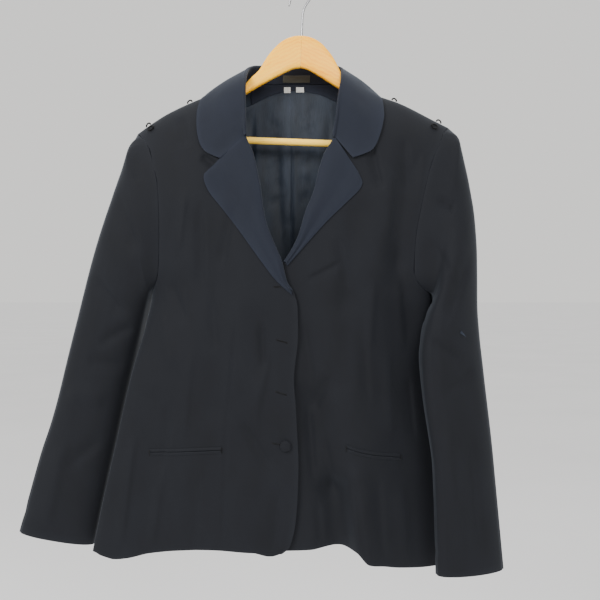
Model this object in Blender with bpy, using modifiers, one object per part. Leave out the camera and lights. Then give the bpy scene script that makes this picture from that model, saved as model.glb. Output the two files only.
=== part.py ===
"""Dark uniform jacket hanging on a wooden hanger.

Metres, +Z up, the jacket's front towards -Y. The origin is the inside top of the hanger's hook, where
a rail would bear. Left and right in the names are the wearer's, so right is towards -X.
"""
import math
from bisect import bisect_right
from collections import namedtuple

import bmesh
import bpy
from mathutils import Vector
from mathutils.bvhtree import BVHTree

NAME = "uniform_jacket"

# Cloth and seams
WALL = 0.002
LAPEL_WALL = 0.0018
COLLAR_WALL = 0.0018
TRIM_WALL = 0.0011
LINING_WALL = 0.001
SEAM = 0.0004
SIDE_SEAM, SHOULDER_SEAM, SLEEVE_SEAM = 0.0019, 0.0010, 0.0014
CLEAR = 0.0007
NECK_SEAM = 2.5 * SEAM
WELT_CLEAR = 1.4 * CLEAR
RING_CLEAR = 1.3 * CLEAR
RIGHT, LEFT = -1, 1
HANDS = {RIGHT: "right", LEFT: "left"}

# The body form, a lens in each level section
CENTRE = -0.016
TIP_ROUND = 6.0
SIDE_FROM, SIDE_TO = 0.30, 0.92
FRONT_DROP = 0.085
BACK_DROP = 0.055
UNDERARM = {RIGHT: -0.475, LEFT: -0.478}
UNDER_LAP = 0.0065
LAP_FADE = 0.05
LAP_TOP, LAP_FULL = -0.36, -0.42
FOLD_FADE = 0.03

# Points well behind each cloth's outer face, to tell which way it faces
FAR = 0.3
MIDDLE_Z, CHEST_Z, POCKET_Z, NECK_Z, COLLAR_HEART_Z = -0.5, -0.4, -0.7, -0.15, -0.30

# Grid sizes
FRONT_COLUMNS, BACK_COLUMNS = 13, 19
LOWER_ROWS = 15
HEM_REACH = 0.14
EVEN_LOW, EVEN_RISE = 0.25, 0.5
TOP_POWER = 3
BACK_ARCH = 0.3
UPPER_SHARES = [i / 10 for i in range(10)] + [0.955, 0.984, 1.0]
SLEEVE_RINGS, SLEEVE_STEPS = 20, 12
SLEEVE_CLEAR = 0.0055
SLEEVE_CLOSE = 1.25
SLEEVE_SWELL = 0.85
ARMHOLE_SAMPLES = 160
ARMHOLE_CLOSE = 1.5
HEAD_SHARE = 0.07
HEAD_SEAM, HEAD_MITRE = 0.0016, 0.0012
PRESS_STEP, PRESS_LIMIT = 0.0005, 160
PRESS_CORE, PRESS_CORE_Y = 0.05, 0.012

# Wooden hanger, in its own frame with the hook's bearing point at the origin
HANGER_TILT = 0.0384
WOOD_TOP = -0.0843
WOOD_HALF = 0.00675
BAR_RADIUS = 0.00525
BAR_HALF = 0.2040
BAR_HEIGHT = -0.247
WIRE_RADIUS = 0.0016
HOOK_RADIUS = 0.0165

Body = namedtuple("Body", "z left right front back left_y right_y left_front right_front side_back")
BODY = [
    Body(-0.150, -0.275, 0.255, -0.030, 0.042, 0.000, 0.000, -0.030, -0.030, 0.040),
    Body(-0.250, -0.272, 0.250, -0.052, 0.046, -0.005, -0.008, -0.046, -0.044, 0.042),
    Body(-0.350, -0.255, 0.232, -0.067, 0.048, -0.008, -0.014, -0.055, -0.050, 0.042),
    Body(-0.430, -0.238, 0.203, -0.070, 0.048, -0.010, -0.018, -0.055, -0.048, 0.039),
    Body(-0.475, -0.2286, 0.190, -0.070, 0.048, -0.012, -0.020, -0.052, -0.045, 0.037),
    Body(-0.520, -0.2360, 0.200, -0.069, 0.047, -0.018, -0.008, -0.052, -0.032, 0.035),
    Body(-0.600, -0.2580, 0.214, -0.067, 0.046, -0.025, 0.004, -0.052, -0.022, 0.034),
    Body(-0.700, -0.2800, 0.232, -0.065, 0.045, -0.028, 0.006, -0.050, -0.021, 0.034),
    Body(-0.800, -0.3024, 0.251, -0.063, 0.045, -0.028, 0.006, -0.048, -0.021, 0.034),
    Body(-0.900, -0.3225, 0.269, -0.060, 0.044, -0.028, 0.004, -0.046, -0.021, 0.034),
]

# Lines seen from the front: x against z, or z against x
Point = namedtuple("Point", "x z")
SHOULDER = [
    Point(-0.2534, -0.2341), Point(-0.2381, -0.2234), Point(-0.2045, -0.2020), Point(-0.1464, -0.1760),
    Point(-0.1000, -0.1600), Point(0.0800, -0.1600), Point(0.1085, -0.1743), Point(0.1450, -0.1870),
    Point(0.1962, -0.2127), Point(0.2200, -0.2245),
]
BACK_TOP = [
    Point(-0.2534, -0.2341), Point(-0.2045, -0.2020), Point(-0.1464, -0.1760), Point(-0.1000, -0.1600),
    Point(-0.0850, -0.1446), Point(-0.0520, -0.1140), Point(-0.0160, -0.1060), Point(0.0260, -0.1140),
    Point(0.0640, -0.1446), Point(0.0800, -0.1600), Point(0.1450, -0.1870), Point(0.2200, -0.2245),
]
BACK_NECK = [
    Point(-0.1000, -0.1600), Point(-0.0850, -0.1520), Point(-0.0520, -0.1490), Point(-0.0160, -0.1480),
    Point(0.0260, -0.1490), Point(0.0640, -0.1520), Point(0.0800, -0.1600),
]
EDGE = {
    RIGHT: [
        Point(-0.0318, -0.8562), Point(-0.0215, -0.8475), Point(-0.0173, -0.8359),
        Point(-0.0129, -0.8156), Point(-0.0095, -0.7779), Point(-0.0080, -0.7345),
        Point(-0.0115, -0.6475), Point(-0.0144, -0.6040), Point(-0.0086, -0.5387),
        Point(-0.0092, -0.5010), Point(-0.0143, -0.4779), Point(-0.0245, -0.4606),
        Point(-0.0317, -0.4317), Point(-0.0397, -0.4128), Point(-0.0551, -0.3718),
        Point(-0.0642, -0.3154), Point(-0.0733, -0.2749), Point(-0.0843, -0.2478),
        Point(-0.0885, -0.2190), Point(-0.0935, -0.1880), Point(-0.1000, -0.1600),
    ],
    LEFT: [
        Point(-0.0450, -0.8530), Point(-0.0450, -0.6000), Point(-0.0440, -0.4700),
        Point(-0.0304, -0.4343), Point(-0.0202, -0.4183), Point(-0.0086, -0.3951),
        Point(0.0030, -0.3570), Point(0.0118, -0.3366), Point(0.0279, -0.2777),
        Point(0.0430, -0.2503), Point(0.0510, -0.2200), Point(0.0640, -0.1880),
        Point(0.0800, -0.1600),
    ],
}
ARMHOLE = {
    RIGHT: [
        Point(-0.2220, -0.4660), Point(-0.2165, -0.4500), Point(-0.2138, -0.4231),
        Point(-0.2129, -0.3704), Point(-0.2152, -0.3176), Point(-0.2227, -0.2872),
        Point(-0.2276, -0.2676), Point(-0.2433, -0.2444), Point(-0.2534, -0.2341),
    ],
    LEFT: [
        Point(0.1780, -0.4715), Point(0.1675, -0.4600), Point(0.1620, -0.4437),
        Point(0.1640, -0.3994), Point(0.1744, -0.3404), Point(0.1877, -0.2873),
        Point(0.1998, -0.2600), Point(0.2100, -0.2370), Point(0.2200, -0.2245),
    ],
}
HEM = {
    RIGHT: [
        Point(-0.3155, -0.8620), Point(-0.2950, -0.8673), Point(-0.2806, -0.8702),
        Point(-0.2602, -0.8683), Point(-0.2251, -0.8596), Point(-0.1886, -0.8537),
        Point(-0.1447, -0.8508), Point(-0.0745, -0.8537), Point(-0.0496, -0.8596),
        Point(-0.0318, -0.8590),
    ],
    LEFT: [
        Point(-0.0450, -0.8540), Point(0.0090, -0.8525), Point(0.0314, -0.8498),
        Point(0.0541, -0.8485), Point(0.0755, -0.8540), Point(0.0938, -0.8713),
        Point(0.1186, -0.8771), Point(0.1406, -0.8815), Point(0.1870, -0.8854),
        Point(0.2650, -0.8750),
    ],
}
HEM_SIDE = {RIGHT: -0.862, LEFT: -0.875}
BACK_HEM = -0.866

# Largest folds: a soft line from one end to the other; a positive depth goes into the garment
Fold = namedtuple("Fold", "x0 z0 x1 z1 width depth")
FOLDS = {
    RIGHT: [
        Fold(-0.124, -0.334, -0.130, -0.640, 0.024, 0.0045),
        Fold(-0.079, -0.678, -0.047, -0.725, 0.022, 0.0030),
        Fold(-0.061, -0.517, -0.055, -0.576, 0.020, 0.0025),
        Fold(-0.175, -0.300, -0.185, -0.560, 0.030, -0.0030),
        Fold(-0.222, -0.640, -0.240, -0.860, 0.026, 0.0040),
        Fold(-0.090, -0.760, -0.085, -0.860, 0.026, -0.0035),
    ],
    LEFT: [
        Fold(0.146, -0.305, 0.141, -0.430, 0.020, 0.0050),
        Fold(0.141, -0.430, 0.155, -0.532, 0.020, 0.0040),
        Fold(0.119, -0.312, 0.111, -0.444, 0.020, -0.0035),
        Fold(0.075, -0.364, 0.060, -0.488, 0.020, 0.0045),
        Fold(0.060, -0.488, 0.053, -0.605, 0.020, 0.0040),
        Fold(0.012, -0.634, 0.038, -0.751, 0.026, 0.0090),
        Fold(0.046, -0.770, 0.050, -0.870, 0.026, 0.0220),
        Fold(0.074, -0.751, 0.090, -0.870, 0.020, -0.0080),
    ],
}
BACK_FOLDS = [
    Fold(-0.180, -0.300, -0.165, -0.560, 0.026, 0.0050),
    Fold(-0.130, -0.520, -0.140, -0.860, 0.028, -0.0050),
    Fold(-0.060, -0.480, -0.075, -0.860, 0.024, 0.0060),
    Fold(0.020, -0.560, 0.030, -0.860, 0.028, -0.0050),
    Fold(0.085, -0.420, 0.095, -0.860, 0.024, 0.0060),
    Fold(0.130, -0.280, 0.120, -0.450, 0.022, 0.0050),
]

# Sleeve sections: outer and inner edge points, then the half depths before and behind their line
Ring = namedtuple("Ring", "outer_x outer_y outer_z inner_x inner_y inner_z front back")
SLEEVE = {
    RIGHT: [
        Ring(-0.2620, 0.002, -0.2500, -0.2300, -0.010, -0.4790, 0.046, 0.046),
        Ring(-0.2749, 0.005, -0.2861, -0.2330, -0.004, -0.4860, 0.050, 0.046),
        Ring(-0.2932, 0.008, -0.3351, -0.2370, 0.004, -0.4980, 0.052, 0.044),
        Ring(-0.3116, 0.010, -0.3901, -0.2430, 0.012, -0.5200, 0.052, 0.040),
        Ring(-0.3290, 0.012, -0.4480, -0.2520, 0.016, -0.5560, 0.048, 0.036),
        Ring(-0.3475, 0.014, -0.5178, -0.2640, 0.018, -0.6050, 0.044, 0.034),
        Ring(-0.3666, 0.015, -0.5905, -0.2770, 0.018, -0.6600, 0.040, 0.032),
        Ring(-0.3880, 0.015, -0.6715, -0.2920, 0.018, -0.7250, 0.036, 0.030),
        Ring(-0.4064, 0.015, -0.7281, -0.3025, 0.018, -0.7700, 0.033, 0.028),
        Ring(-0.4385, 0.015, -0.8430, -0.3225, 0.018, -0.8640, 0.028, 0.026),
    ],
    LEFT: [
        Ring(0.2323, 0.002, -0.2357, 0.1905, -0.022, -0.4815, 0.040, 0.046),
        Ring(0.2425, 0.004, -0.2700, 0.1900, -0.026, -0.4870, 0.042, 0.044),
        Ring(0.2527, 0.004, -0.3182, 0.1870, -0.032, -0.4950, 0.044, 0.040),
        Ring(0.2600, 0.002, -0.3700, 0.1810, -0.040, -0.5080, 0.044, 0.036),
        Ring(0.2628, -0.001, -0.4350, 0.1730, -0.048, -0.5350, 0.042, 0.030),
        Ring(0.2625, -0.006, -0.5000, 0.1680, -0.054, -0.5750, 0.040, 0.024),
        Ring(0.2680, -0.014, -0.5750, 0.1720, -0.060, -0.6300, 0.036, 0.021),
        Ring(0.2735, -0.022, -0.6400, 0.1785, -0.064, -0.6780, 0.033, 0.020),
        Ring(0.2790, -0.030, -0.7050, 0.1850, -0.068, -0.7300, 0.031, 0.020),
        Ring(0.2850, -0.038, -0.7850, 0.1865, -0.072, -0.8000, 0.028, 0.020),
        Ring(0.2925, -0.045, -0.8790, 0.1880, -0.075, -0.8790, 0.026, 0.020),
    ],
}
SLEEVE_NEAR = 0.022
UNDERARM_EASE = 0.04
UNDERARM_SEAM = 1.4 * SIDE_SEAM
SLEEVE_TOP_EASE = 0.004

# Lapels: top edge from the roll line to the point, then the outer edge down to the break
LAPEL_EDGE = {
    RIGHT: [
        Point(-0.0170, -0.4815), Point(-0.0398, -0.4605), Point(-0.0579, -0.4373),
        Point(-0.0956, -0.3851), Point(-0.1173, -0.3570), Point(-0.1396, -0.3278), Point(-0.1463, -0.3112),
    ],
    LEFT: [
        Point(-0.0240, -0.4390), Point(0.0342, -0.3735), Point(0.0600, -0.3485),
        Point(0.0827, -0.3242), Point(0.0857, -0.3149),
    ],
}
LAPEL_TOP = {RIGHT: Point(-0.1449, -0.3054), LEFT: Point(0.0784, -0.3025)}
ROLL_SPAN = {RIGHT: (-0.4740, -0.2490), LEFT: (-0.4330, -0.2520)}
LAPEL_LIFT, LAPEL_ROLL = 0.0030, 0.0035
LAPEL_ROWS, LAPEL_COLUMNS = 15, 6
LAPEL_EDGE_POWER = 0.9
ROLL_WAVE, ROLL_START = 1.5, 0.08
ROLL_INSET = 0.0012

# Collar stations from the right gorge round the back to the left one: fold and outer edge
Station = namedtuple("Station", "fold_x fold_y fold_z edge_x edge_y edge_z seam_x seam_z where")
COLLAR = [
    Station(-0.0860, -0.0590, -0.2480, -0.1218, -0.0620, -0.2822, -0.0846, -0.2470, "front"),
    Station(-0.0866, -0.0580, -0.2340, -0.1407, -0.0600, -0.2735, -0.0862, -0.2350, "front"),
    Station(-0.0868, -0.0540, -0.2165, -0.1509, -0.0560, -0.2610, -0.0885, -0.2190, "front"),
    Station(-0.0870, -0.0470, -0.1900, -0.1542, -0.0460, -0.2400, -0.0916, -0.1990, "front"),
    Station(-0.0872, -0.0360, -0.1660, -0.1547, -0.0330, -0.2154, -0.0950, -0.1800, "front"),
    Station(-0.0868, -0.0180, -0.1470, -0.1530, -0.0180, -0.1900, -0.0980, -0.1680, "front"),
    Station(-0.0853, 0.0040, -0.1330, -0.1452, 0.0030, -0.1715, -0.0990, -0.1590, "back"),
    Station(-0.0760, 0.0270, -0.1210, -0.1300, 0.0320, -0.1740, -0.0850, -0.1520, "back"),
    Station(-0.0500, 0.0430, -0.1165, -0.0850, 0.0550, -0.1810, -0.0520, -0.1490, "back"),
    Station(-0.0140, 0.0470, -0.1150, -0.0140, 0.0575, -0.1830, -0.0160, -0.1480, "back"),
    Station(0.0240, 0.0430, -0.1165, 0.0500, 0.0550, -0.1810, 0.0290, -0.1490, "back"),
    Station(0.0500, 0.0270, -0.1210, 0.0970, 0.0320, -0.1740, 0.0640, -0.1520, "back"),
    Station(0.0575, 0.0040, -0.1330, 0.1093, 0.0030, -0.1700, 0.0790, -0.1590, "back"),
    Station(0.0565, -0.0180, -0.1480, 0.1135, -0.0180, -0.1960, 0.0750, -0.1690, "front"),
    Station(0.0535, -0.0360, -0.1680, 0.1145, -0.0340, -0.2190, 0.0680, -0.1810, "front"),
    Station(0.0500, -0.0480, -0.1930, 0.1110, -0.0490, -0.2420, 0.0590, -0.2010, "front"),
    Station(0.0470, -0.0545, -0.2210, 0.0985, -0.0580, -0.2690, 0.0505, -0.2230, "front"),
    Station(0.0430, -0.0600, -0.2490, 0.0711, -0.0620, -0.2810, 0.0440, -0.2480, "front"),
]
COLLAR_STEPS = 2
FOLD_RADIUS = 0.0032
FALL_BULGE = 0.003
COLLAR_CLEAR = 0.0046
ROLL_ANGLES = (45, 90, 135)
FALL_SHARES = (0.2, 0.45, 0.72, 1.0)
LIFT_STEP, LIFT_LIMIT = 0.0004, 200
LIFT_CORE_X, LIFT_CORE_Z, LIFT_BACK = 0.8, 0.07, 0.02

# Pockets: the slit's line, and the two welts above and below it
SLIT = {
    RIGHT: [Point(-0.227, -0.7120), Point(-0.173, -0.7085), Point(-0.119, -0.7050)],
    LEFT: [
        Point(0.061, -0.7020), Point(0.082, -0.7090), Point(0.102, -0.7135), Point(0.123, -0.7170),
        Point(0.143, -0.7200),
    ],
}
WELT_HEIGHT, WELT_SLIT, WELT_COLUMNS = 0.0045, 0.0005, 10

BUTTON = Point(-0.0267, -0.6985)
BUTTON_RADIUS, BUTTON_HEIGHT, SHANK_RADIUS, SHANK_HEIGHT = 0.0078, 0.0034, 0.0030, 0.0016
DOME_ANGLES = (70, 50, 30, 10)
DOME_FOOT, RIM_LOW, RIM_INSET = 0.45, 0.3, 0.9
TURN_STEPS, TURN_MERGE = 20, 0.00005

# Cord loops on the shoulders: foot points along the shoulder line, and how far they stand forward
Loop = namedtuple("Loop", "name x half rise")
LOOPS = [
    Loop("shoulder_loop_right_inner", -0.1739, 0.0055, 0.0022),
    Loop("shoulder_loop_right_outer", -0.2370, 0.0050, 0.0026),
    Loop("shoulder_loop_left_inner", 0.1381, 0.0055, 0.0022),
    Loop("shoulder_loop_left_outer", 0.2060, 0.0055, 0.0026),
]
CORD_RADIUS = 0.0011
RINGS = {"shoulder_ring_right": Point(-0.2290, -0.2310), "shoulder_ring_left": Point(0.1950, -0.2290)}
RING_MAJOR, RING_MINOR = 0.0046, 0.0011
LOOP_POINTS = 9
LOOP_FRONT, LOOP_LEAN = 0.0022, 0.003
LOOP_LIFT = 0.7 * CORD_RADIUS
RING_STEP = 0.006

# Inside the neck
LABEL = (-0.0326, 0.0101, -0.1450, -0.1330)
TABS = {"neck_tab_right": (-0.0310, -0.0205, -0.1620, -0.1530),
        "neck_tab_left": (-0.0120, 0.0006, -0.1610, -0.1530)}
LABEL_WALL = 0.0006
LINING_TOP = [
    Point(-0.150, -0.2150), Point(-0.0840, -0.1820), Point(-0.0520, -0.1660), Point(-0.0160, -0.1580),
    Point(0.0200, -0.1630), Point(0.0520, -0.1760), Point(0.1200, -0.2100),
]
LINING_HEM = -0.845
LINING_GAP, LINING_FREE = 0.0031, 0.0070
LINING_ROWS, LINING_COLUMNS = 14, 10
LINING_SPAN, LINING_TOP_HALF, LINING_LOW = 0.9, 0.15, -0.6
LINING_NARROW, LINING_SEWN = 0.35, 0.8
LINED = WALL + LINING_GAP + LINING_WALL
FACING_RIGHT, FACING_LEFT, FACING_DROP = -0.082, 0.058, 0.0022
FACING_ROWS, FACING_COLUMNS = 2, 12
PATCH_ROWS, PATCH_COLUMNS = 2, 4

# Hanger arms: half outline against the distance from the middle, below the wood's top
Arm = namedtuple("Arm", "x top bottom")
ARM = [
    Arm(0.00015, 0.0000, -0.0490), Arm(0.0100, -0.0010, -0.0510), Arm(0.0200, -0.0042, -0.0555),
    Arm(0.0300, -0.0100, -0.0610), Arm(0.0406, -0.0205, -0.0670), Arm(0.0490, -0.0310, -0.0720),
    Arm(0.0570, -0.0446, -0.0768), Arm(0.0626, -0.0550, -0.0802), Arm(0.0763, -0.0692, -0.0890),
    Arm(0.0830, -0.0775, -0.0935), Arm(0.0900, -0.0840, -0.0990), Arm(0.1100, -0.0925, -0.1120),
    Arm(0.1396, -0.1018, -0.1280), Arm(0.1700, -0.1187, -0.1480), Arm(0.1950, -0.1330, -0.1700),
    Arm(0.2100, -0.1420, -0.1745), Arm(0.2165, -0.1480, -0.1700),
]
ARM_SIDES, ARM_POWER = 12, 0.55
ARM_STEP = 0.012
ARM_END, ARM_END_THIN = 0.21, 0.8
SEAT_GAP = 0.0003
HOOK_DEPTH = 0.0200
HOOK_STEM = [Point(0.0, -0.0640), Point(0.0002, -0.0540), Point(0.0016, -0.0450), Point(0.0045, -0.0375),
             Point(0.0082, -0.0315)]
HOOK_TIP = [Point(-0.0182, -0.0225), Point(-0.0196, -0.0310), Point(-0.0210, -0.0400)]
HOOK_CENTRE_X = -0.001
HOOK_FROM, HOOK_TO, HOOK_STEPS = -40, 180, 14


def tangent(keys, values, index):
    """Slope at a row: none at a turn, else the harmonic mean of the slopes beside it."""
    def slope(at):
        return (values[at + 1] - values[at]) / (keys[at + 1] - keys[at])
    if index == 0:
        return slope(0)
    if index == len(keys) - 1:
        return slope(index - 1)
    before, after = slope(index - 1), slope(index)
    if before * after <= 0:
        return 0.0
    return 2 * before * after / (before + after)


def smooth(keys, values, at):
    """Read a cubic that keeps the shape of its rows; outside them the end values hold."""
    if at <= keys[0]:
        return values[0]
    if at >= keys[-1]:
        return values[-1]
    i = bisect_right(keys, at) - 1
    width = keys[i + 1] - keys[i]
    t = (at - keys[i]) / width
    rise, fall = t * t * (3 - 2 * t), t * (1 - t) * (1 - t)
    lead = t * t * (t - 1)
    bend = fall * tangent(keys, values, i) + lead * tangent(keys, values, i + 1)
    return values[i] + rise * (values[i + 1] - values[i]) + width * bend


class Track:
    """A table's rows as smooth lines, each column read against one key column."""

    def __init__(self, rows, key):
        rows = sorted(rows, key=lambda row: getattr(row, key))
        self.keys = [getattr(row, key) for row in rows]
        self.columns = {name: [getattr(row, name) for row in rows] for name in rows[0]._fields}

    def at(self, column, value):
        return smooth(self.keys, self.columns[column], value)


def ramp(low, high, value):
    """A soft step from 0 at low to 1 at high."""
    t = min(1.0, max(0.0, (value - low) / (high - low)))
    return t * t * (3 - 2 * t)


def mix(a, b, share):
    return a + (b - a) * share


BODY_LINE = Track(BODY, "z")
SHOULDER_LINE = Track(SHOULDER, "x")
BACK_TOP_LINE = Track(BACK_TOP, "x")
BACK_NECK_LINE = Track(BACK_NECK, "x")
LINING_TOP_LINE = Track(LINING_TOP, "x")
EDGE_LINE = {side: Track(rows, "z") for side, rows in EDGE.items()}
HEM_LINE = {side: Track(rows, "x") for side, rows in HEM.items()}


def tip(side, z):
    """X of the body's side at a level."""
    return BODY_LINE.at("left" if side == RIGHT else "right", z)


ARMHOLE_LINE = {}
for hand in (RIGHT, LEFT):
    foot = Point(tip(hand, UNDERARM[hand]), UNDERARM[hand])
    ARMHOLE_LINE[hand] = Track([foot] + ARMHOLE[hand], "z")


def body_y(x, z, front):
    """Y of the body form's front or back at a place, without folds."""
    side = RIGHT if x < CENTRE else LEFT
    share = min(1.0, abs((x - CENTRE) / (tip(side, z) - CENTRE)))
    at_side = ramp(SIDE_FROM, SIDE_TO, share)
    tip_y = BODY_LINE.at("left_y" if side == RIGHT else "right_y", z)
    if front:
        middle, edge = BODY_LINE.at("front", z), BODY_LINE.at(
            "left_front" if side == RIGHT else "right_front", z)
        below = (SHOULDER_LINE.at("z", x) - z) / FRONT_DROP
    else:
        middle, edge = BODY_LINE.at("back", z), BODY_LINE.at("side_back", z)
        below = (BACK_TOP_LINE.at("z", x) - z) / BACK_DROP
    depth = mix(middle, edge, at_side)
    y = tip_y + (depth - tip_y) * math.sqrt(max(0.0, 1 - share ** TIP_ROUND))
    below = min(1.0, max(0.0, below))
    return y * math.sqrt(1 - (1 - below) ** 2)


def fold_depth(folds, x, z):
    """Sum of the folds' depths at a place."""
    total = 0.0
    for fold in folds:
        run_x, run_z = fold.x1 - fold.x0, fold.z1 - fold.z0
        along = ((x - fold.x0) * run_x + (z - fold.z0) * run_z) / (run_x ** 2 + run_z ** 2)
        along = min(1.0, max(0.0, along))
        away = math.hypot(x - fold.x0 - along * run_x, z - fold.z0 - along * run_z)
        total += fold.depth * math.exp(-(away / fold.width) ** 2)
    return total


def inside_share(side, x, z):
    """1 over a panel, fading to 0 at its side, so that folds never open a seam."""
    return ramp(0.0, FOLD_FADE, abs(boundary_x(side, z) - x))


def boundary_x(side, z):
    """X of a panel's outer border: the side seam, then the armhole."""
    return tip(side, z) if z < UNDERARM[side] else ARMHOLE_LINE[side].at("x", z)


def front_y(side, x, z):
    """Y of a front's outer face."""
    y = body_y(x, z, True)
    y += fold_depth(FOLDS[side], x, z) * inside_share(side, x, z)
    if side == LEFT:
        y += UNDER_LAP * (1 - ramp(0.0, LAP_FADE, x)) * ramp(LAP_TOP, LAP_FULL, z)
    return y


def back_y(x, z):
    """Y of the back's outer face."""
    side = RIGHT if x < CENTRE else LEFT
    return body_y(x, z, False) - fold_depth(BACK_FOLDS, x, z) * inside_share(side, x, z)


def clear_scene():
    for obj in list(bpy.data.objects):
        bpy.data.objects.remove(obj, do_unlink=True)


def collection(name):
    made = bpy.data.collections.new(name)
    bpy.context.scene.collection.children.link(made)
    return made


def finish(name, colour, roughness, metallic=0.0):
    """A plain surface: colour, roughness and metal."""
    material = bpy.data.materials.new(name)
    material.use_nodes = True
    shader = material.node_tree.nodes["Principled BSDF"]
    shader.inputs["Base Color"].default_value = (*colour, 1.0)
    shader.inputs["Roughness"].default_value = roughness
    shader.inputs["Metallic"].default_value = metallic
    return material


def add_object(name, mesh, material, group):
    obj = bpy.data.objects.new(name, mesh)
    mesh.materials.append(material)
    group.objects.link(obj)
    mesh.shade_smooth()
    return obj


def triangles(rows, flip):
    """Index triples of a grid of points, all split along the same diagonal."""
    across = len(rows[0])
    faces = []
    for r in range(len(rows) - 1):
        for c in range(across - 1):
            a, b = r * across + c, r * across + c + 1
            d, e = a + across, b + across
            for face in ((a, b, e), (a, e, d)):
                faces.append(face[::-1] if flip else face)
    return faces


def cloth(name, rows, wall, material, group, inward):
    """A wall of cloth under a grid of outer points; inward is a point behind its outer face."""
    points = [point for row in rows for point in row]
    faces = triangles(rows, False)
    facing = 0.0
    for a, b, c in faces:
        normal = (points[b] - points[a]).cross(points[c] - points[a])
        facing += normal.dot(points[a] - Vector(inward))
    if facing < 0:
        faces = triangles(rows, True)
    mesh = bpy.data.meshes.new(name)
    mesh.from_pydata(points, [], faces)
    obj = add_object(name, mesh, material, group)
    solid = obj.modifiers.new("wall", "SOLIDIFY")
    solid.thickness = wall
    solid.offset = -1.0
    solid.use_even_offset = True
    solid.use_quality_normals = True
    return obj


def surface(rows):
    """A grid as a surface that rays from the front can meet."""
    points = [point for row in rows for point in row]
    return BVHTree.FromPolygons(points, triangles(rows, False))


def on_surface(tree, x, z, lift, from_front=True):
    """The point of a surface at x and z, moved out by lift."""
    start, way = (-1.0, 1.0) if from_front else (1.0, -1.0)
    hit = tree.ray_cast(Vector((x, start, z)), Vector((0, way, 0)))[0]
    if hit is None:
        hit = tree.find_nearest(Vector((x, -0.05 * way, z)))[0]
    return Vector((x, hit.y - way * lift, z))


def level_pairs(side, edge_bottom, edge_top, side_bottom, side_top):
    """Heights of a row's two ends, and how far the row is up the part above the underarm."""
    under = UNDERARM[side]
    pairs = []
    for i in range(LOWER_ROWS):
        t = i / LOWER_ROWS
        pairs.append((mix(edge_bottom, under, t), mix(side_bottom, under, t), 0.0))
    for t in UPPER_SHARES:
        pairs.append((mix(under, edge_top, t), mix(under, side_top, t), t))
    return pairs


def front_grid(side):
    """Outer points of a front, from hem to shoulder and from its front edge to its side."""
    edge_line, hem_line = EDGE_LINE[side], HEM_LINE[side]
    rows = []
    neck, shoulder_tip = EDGE[side][-1], ARMHOLE[side][-1]
    for edge_z, side_z, up in level_pairs(side, EDGE[side][0].z, neck.z, HEM_SIDE[side], shoulder_tip.z):
        start = edge_line.at("x", edge_z)
        end = boundary_x(side, side_z)
        row = []
        for c in range(FRONT_COLUMNS + 1):
            share = c / FRONT_COLUMNS
            share = mix(math.sin(share * math.pi / 2), share, EVEN_LOW + EVEN_RISE * up)
            x = mix(start, end, share)
            level = mix(edge_z, side_z, share)
            straight = mix(EDGE[side][0].z, HEM_SIDE[side], share)
            low = 1 - ramp(0.0, HEM_REACH, level - straight)
            hem = hem_line.at("z", x) - straight
            top = SHOULDER_LINE.at("z", x) - mix(neck.z, shoulder_tip.z, share)
            z = level + low * hem + top * up ** TOP_POWER
            if c in (0, FRONT_COLUMNS):
                z = level
            row.append(Vector((x, front_y(side, x, z), z)))
        rows.append(row)
    return rows


def top_z(x):
    """Height of the back's upper border."""
    if EDGE[RIGHT][-1].x < x < EDGE[LEFT][-1].x:
        return BACK_NECK_LINE.at("z", x)
    return SHOULDER_LINE.at("z", x)


def back_grid():
    """Outer points of the back, from hem to neck and from the right side to the left."""
    rows = []
    left = level_pairs(LEFT, 0, 0, HEM_SIDE[LEFT], ARMHOLE[LEFT][-1].z)
    right = level_pairs(RIGHT, 0, 0, HEM_SIDE[RIGHT], ARMHOLE[RIGHT][-1].z)
    for (_, right_z, up), (_, left_z, _) in zip(right, left):
        start, end = boundary_x(RIGHT, right_z), boundary_x(LEFT, left_z)
        row = []
        for c in range(BACK_COLUMNS + 1):
            share = c / BACK_COLUMNS
            bent = 0.5 - 0.5 * math.cos(share * math.pi)
            share = mix(bent, share, EVEN_LOW + EVEN_RISE * up)
            x = mix(start, end, share)
            level = mix(right_z, left_z, share)
            base = mix(HEM_SIDE[RIGHT], HEM_SIDE[LEFT], share)
            low = 1 - ramp(0.0, HEM_REACH, level - base)
            under = mix(UNDERARM[RIGHT], UNDERARM[LEFT], share)
            z = level + low * (BACK_HEM - base) * math.sin(share * math.pi)
            if up > 0:
                z = mix(level, mix(under, top_z(x), up), math.sin(share * math.pi) ** BACK_ARCH)
            if up == 1:
                z = top_z(x)
            if c in (0, BACK_COLUMNS):
                z = level
            row.append(Vector((x, back_y(x, z), z)))
        rows.append(row)
    return rows


def trim(rows, sides=0.0, top=0.0, columns=(0, -1)):
    """Draw a grid's borders back along its own rows and columns, for the seams."""
    for row in rows:
        if 0 in columns:
            row[0] += (row[1] - row[0]).normalized() * sides
        if -1 in columns:
            row[-1] += (row[-2] - row[-1]).normalized() * sides
    if top:
        for c, point in enumerate(rows[-1]):
            rows[-1][c] = point + (rows[-2][c] - point).normalized() * top
    return rows


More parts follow.
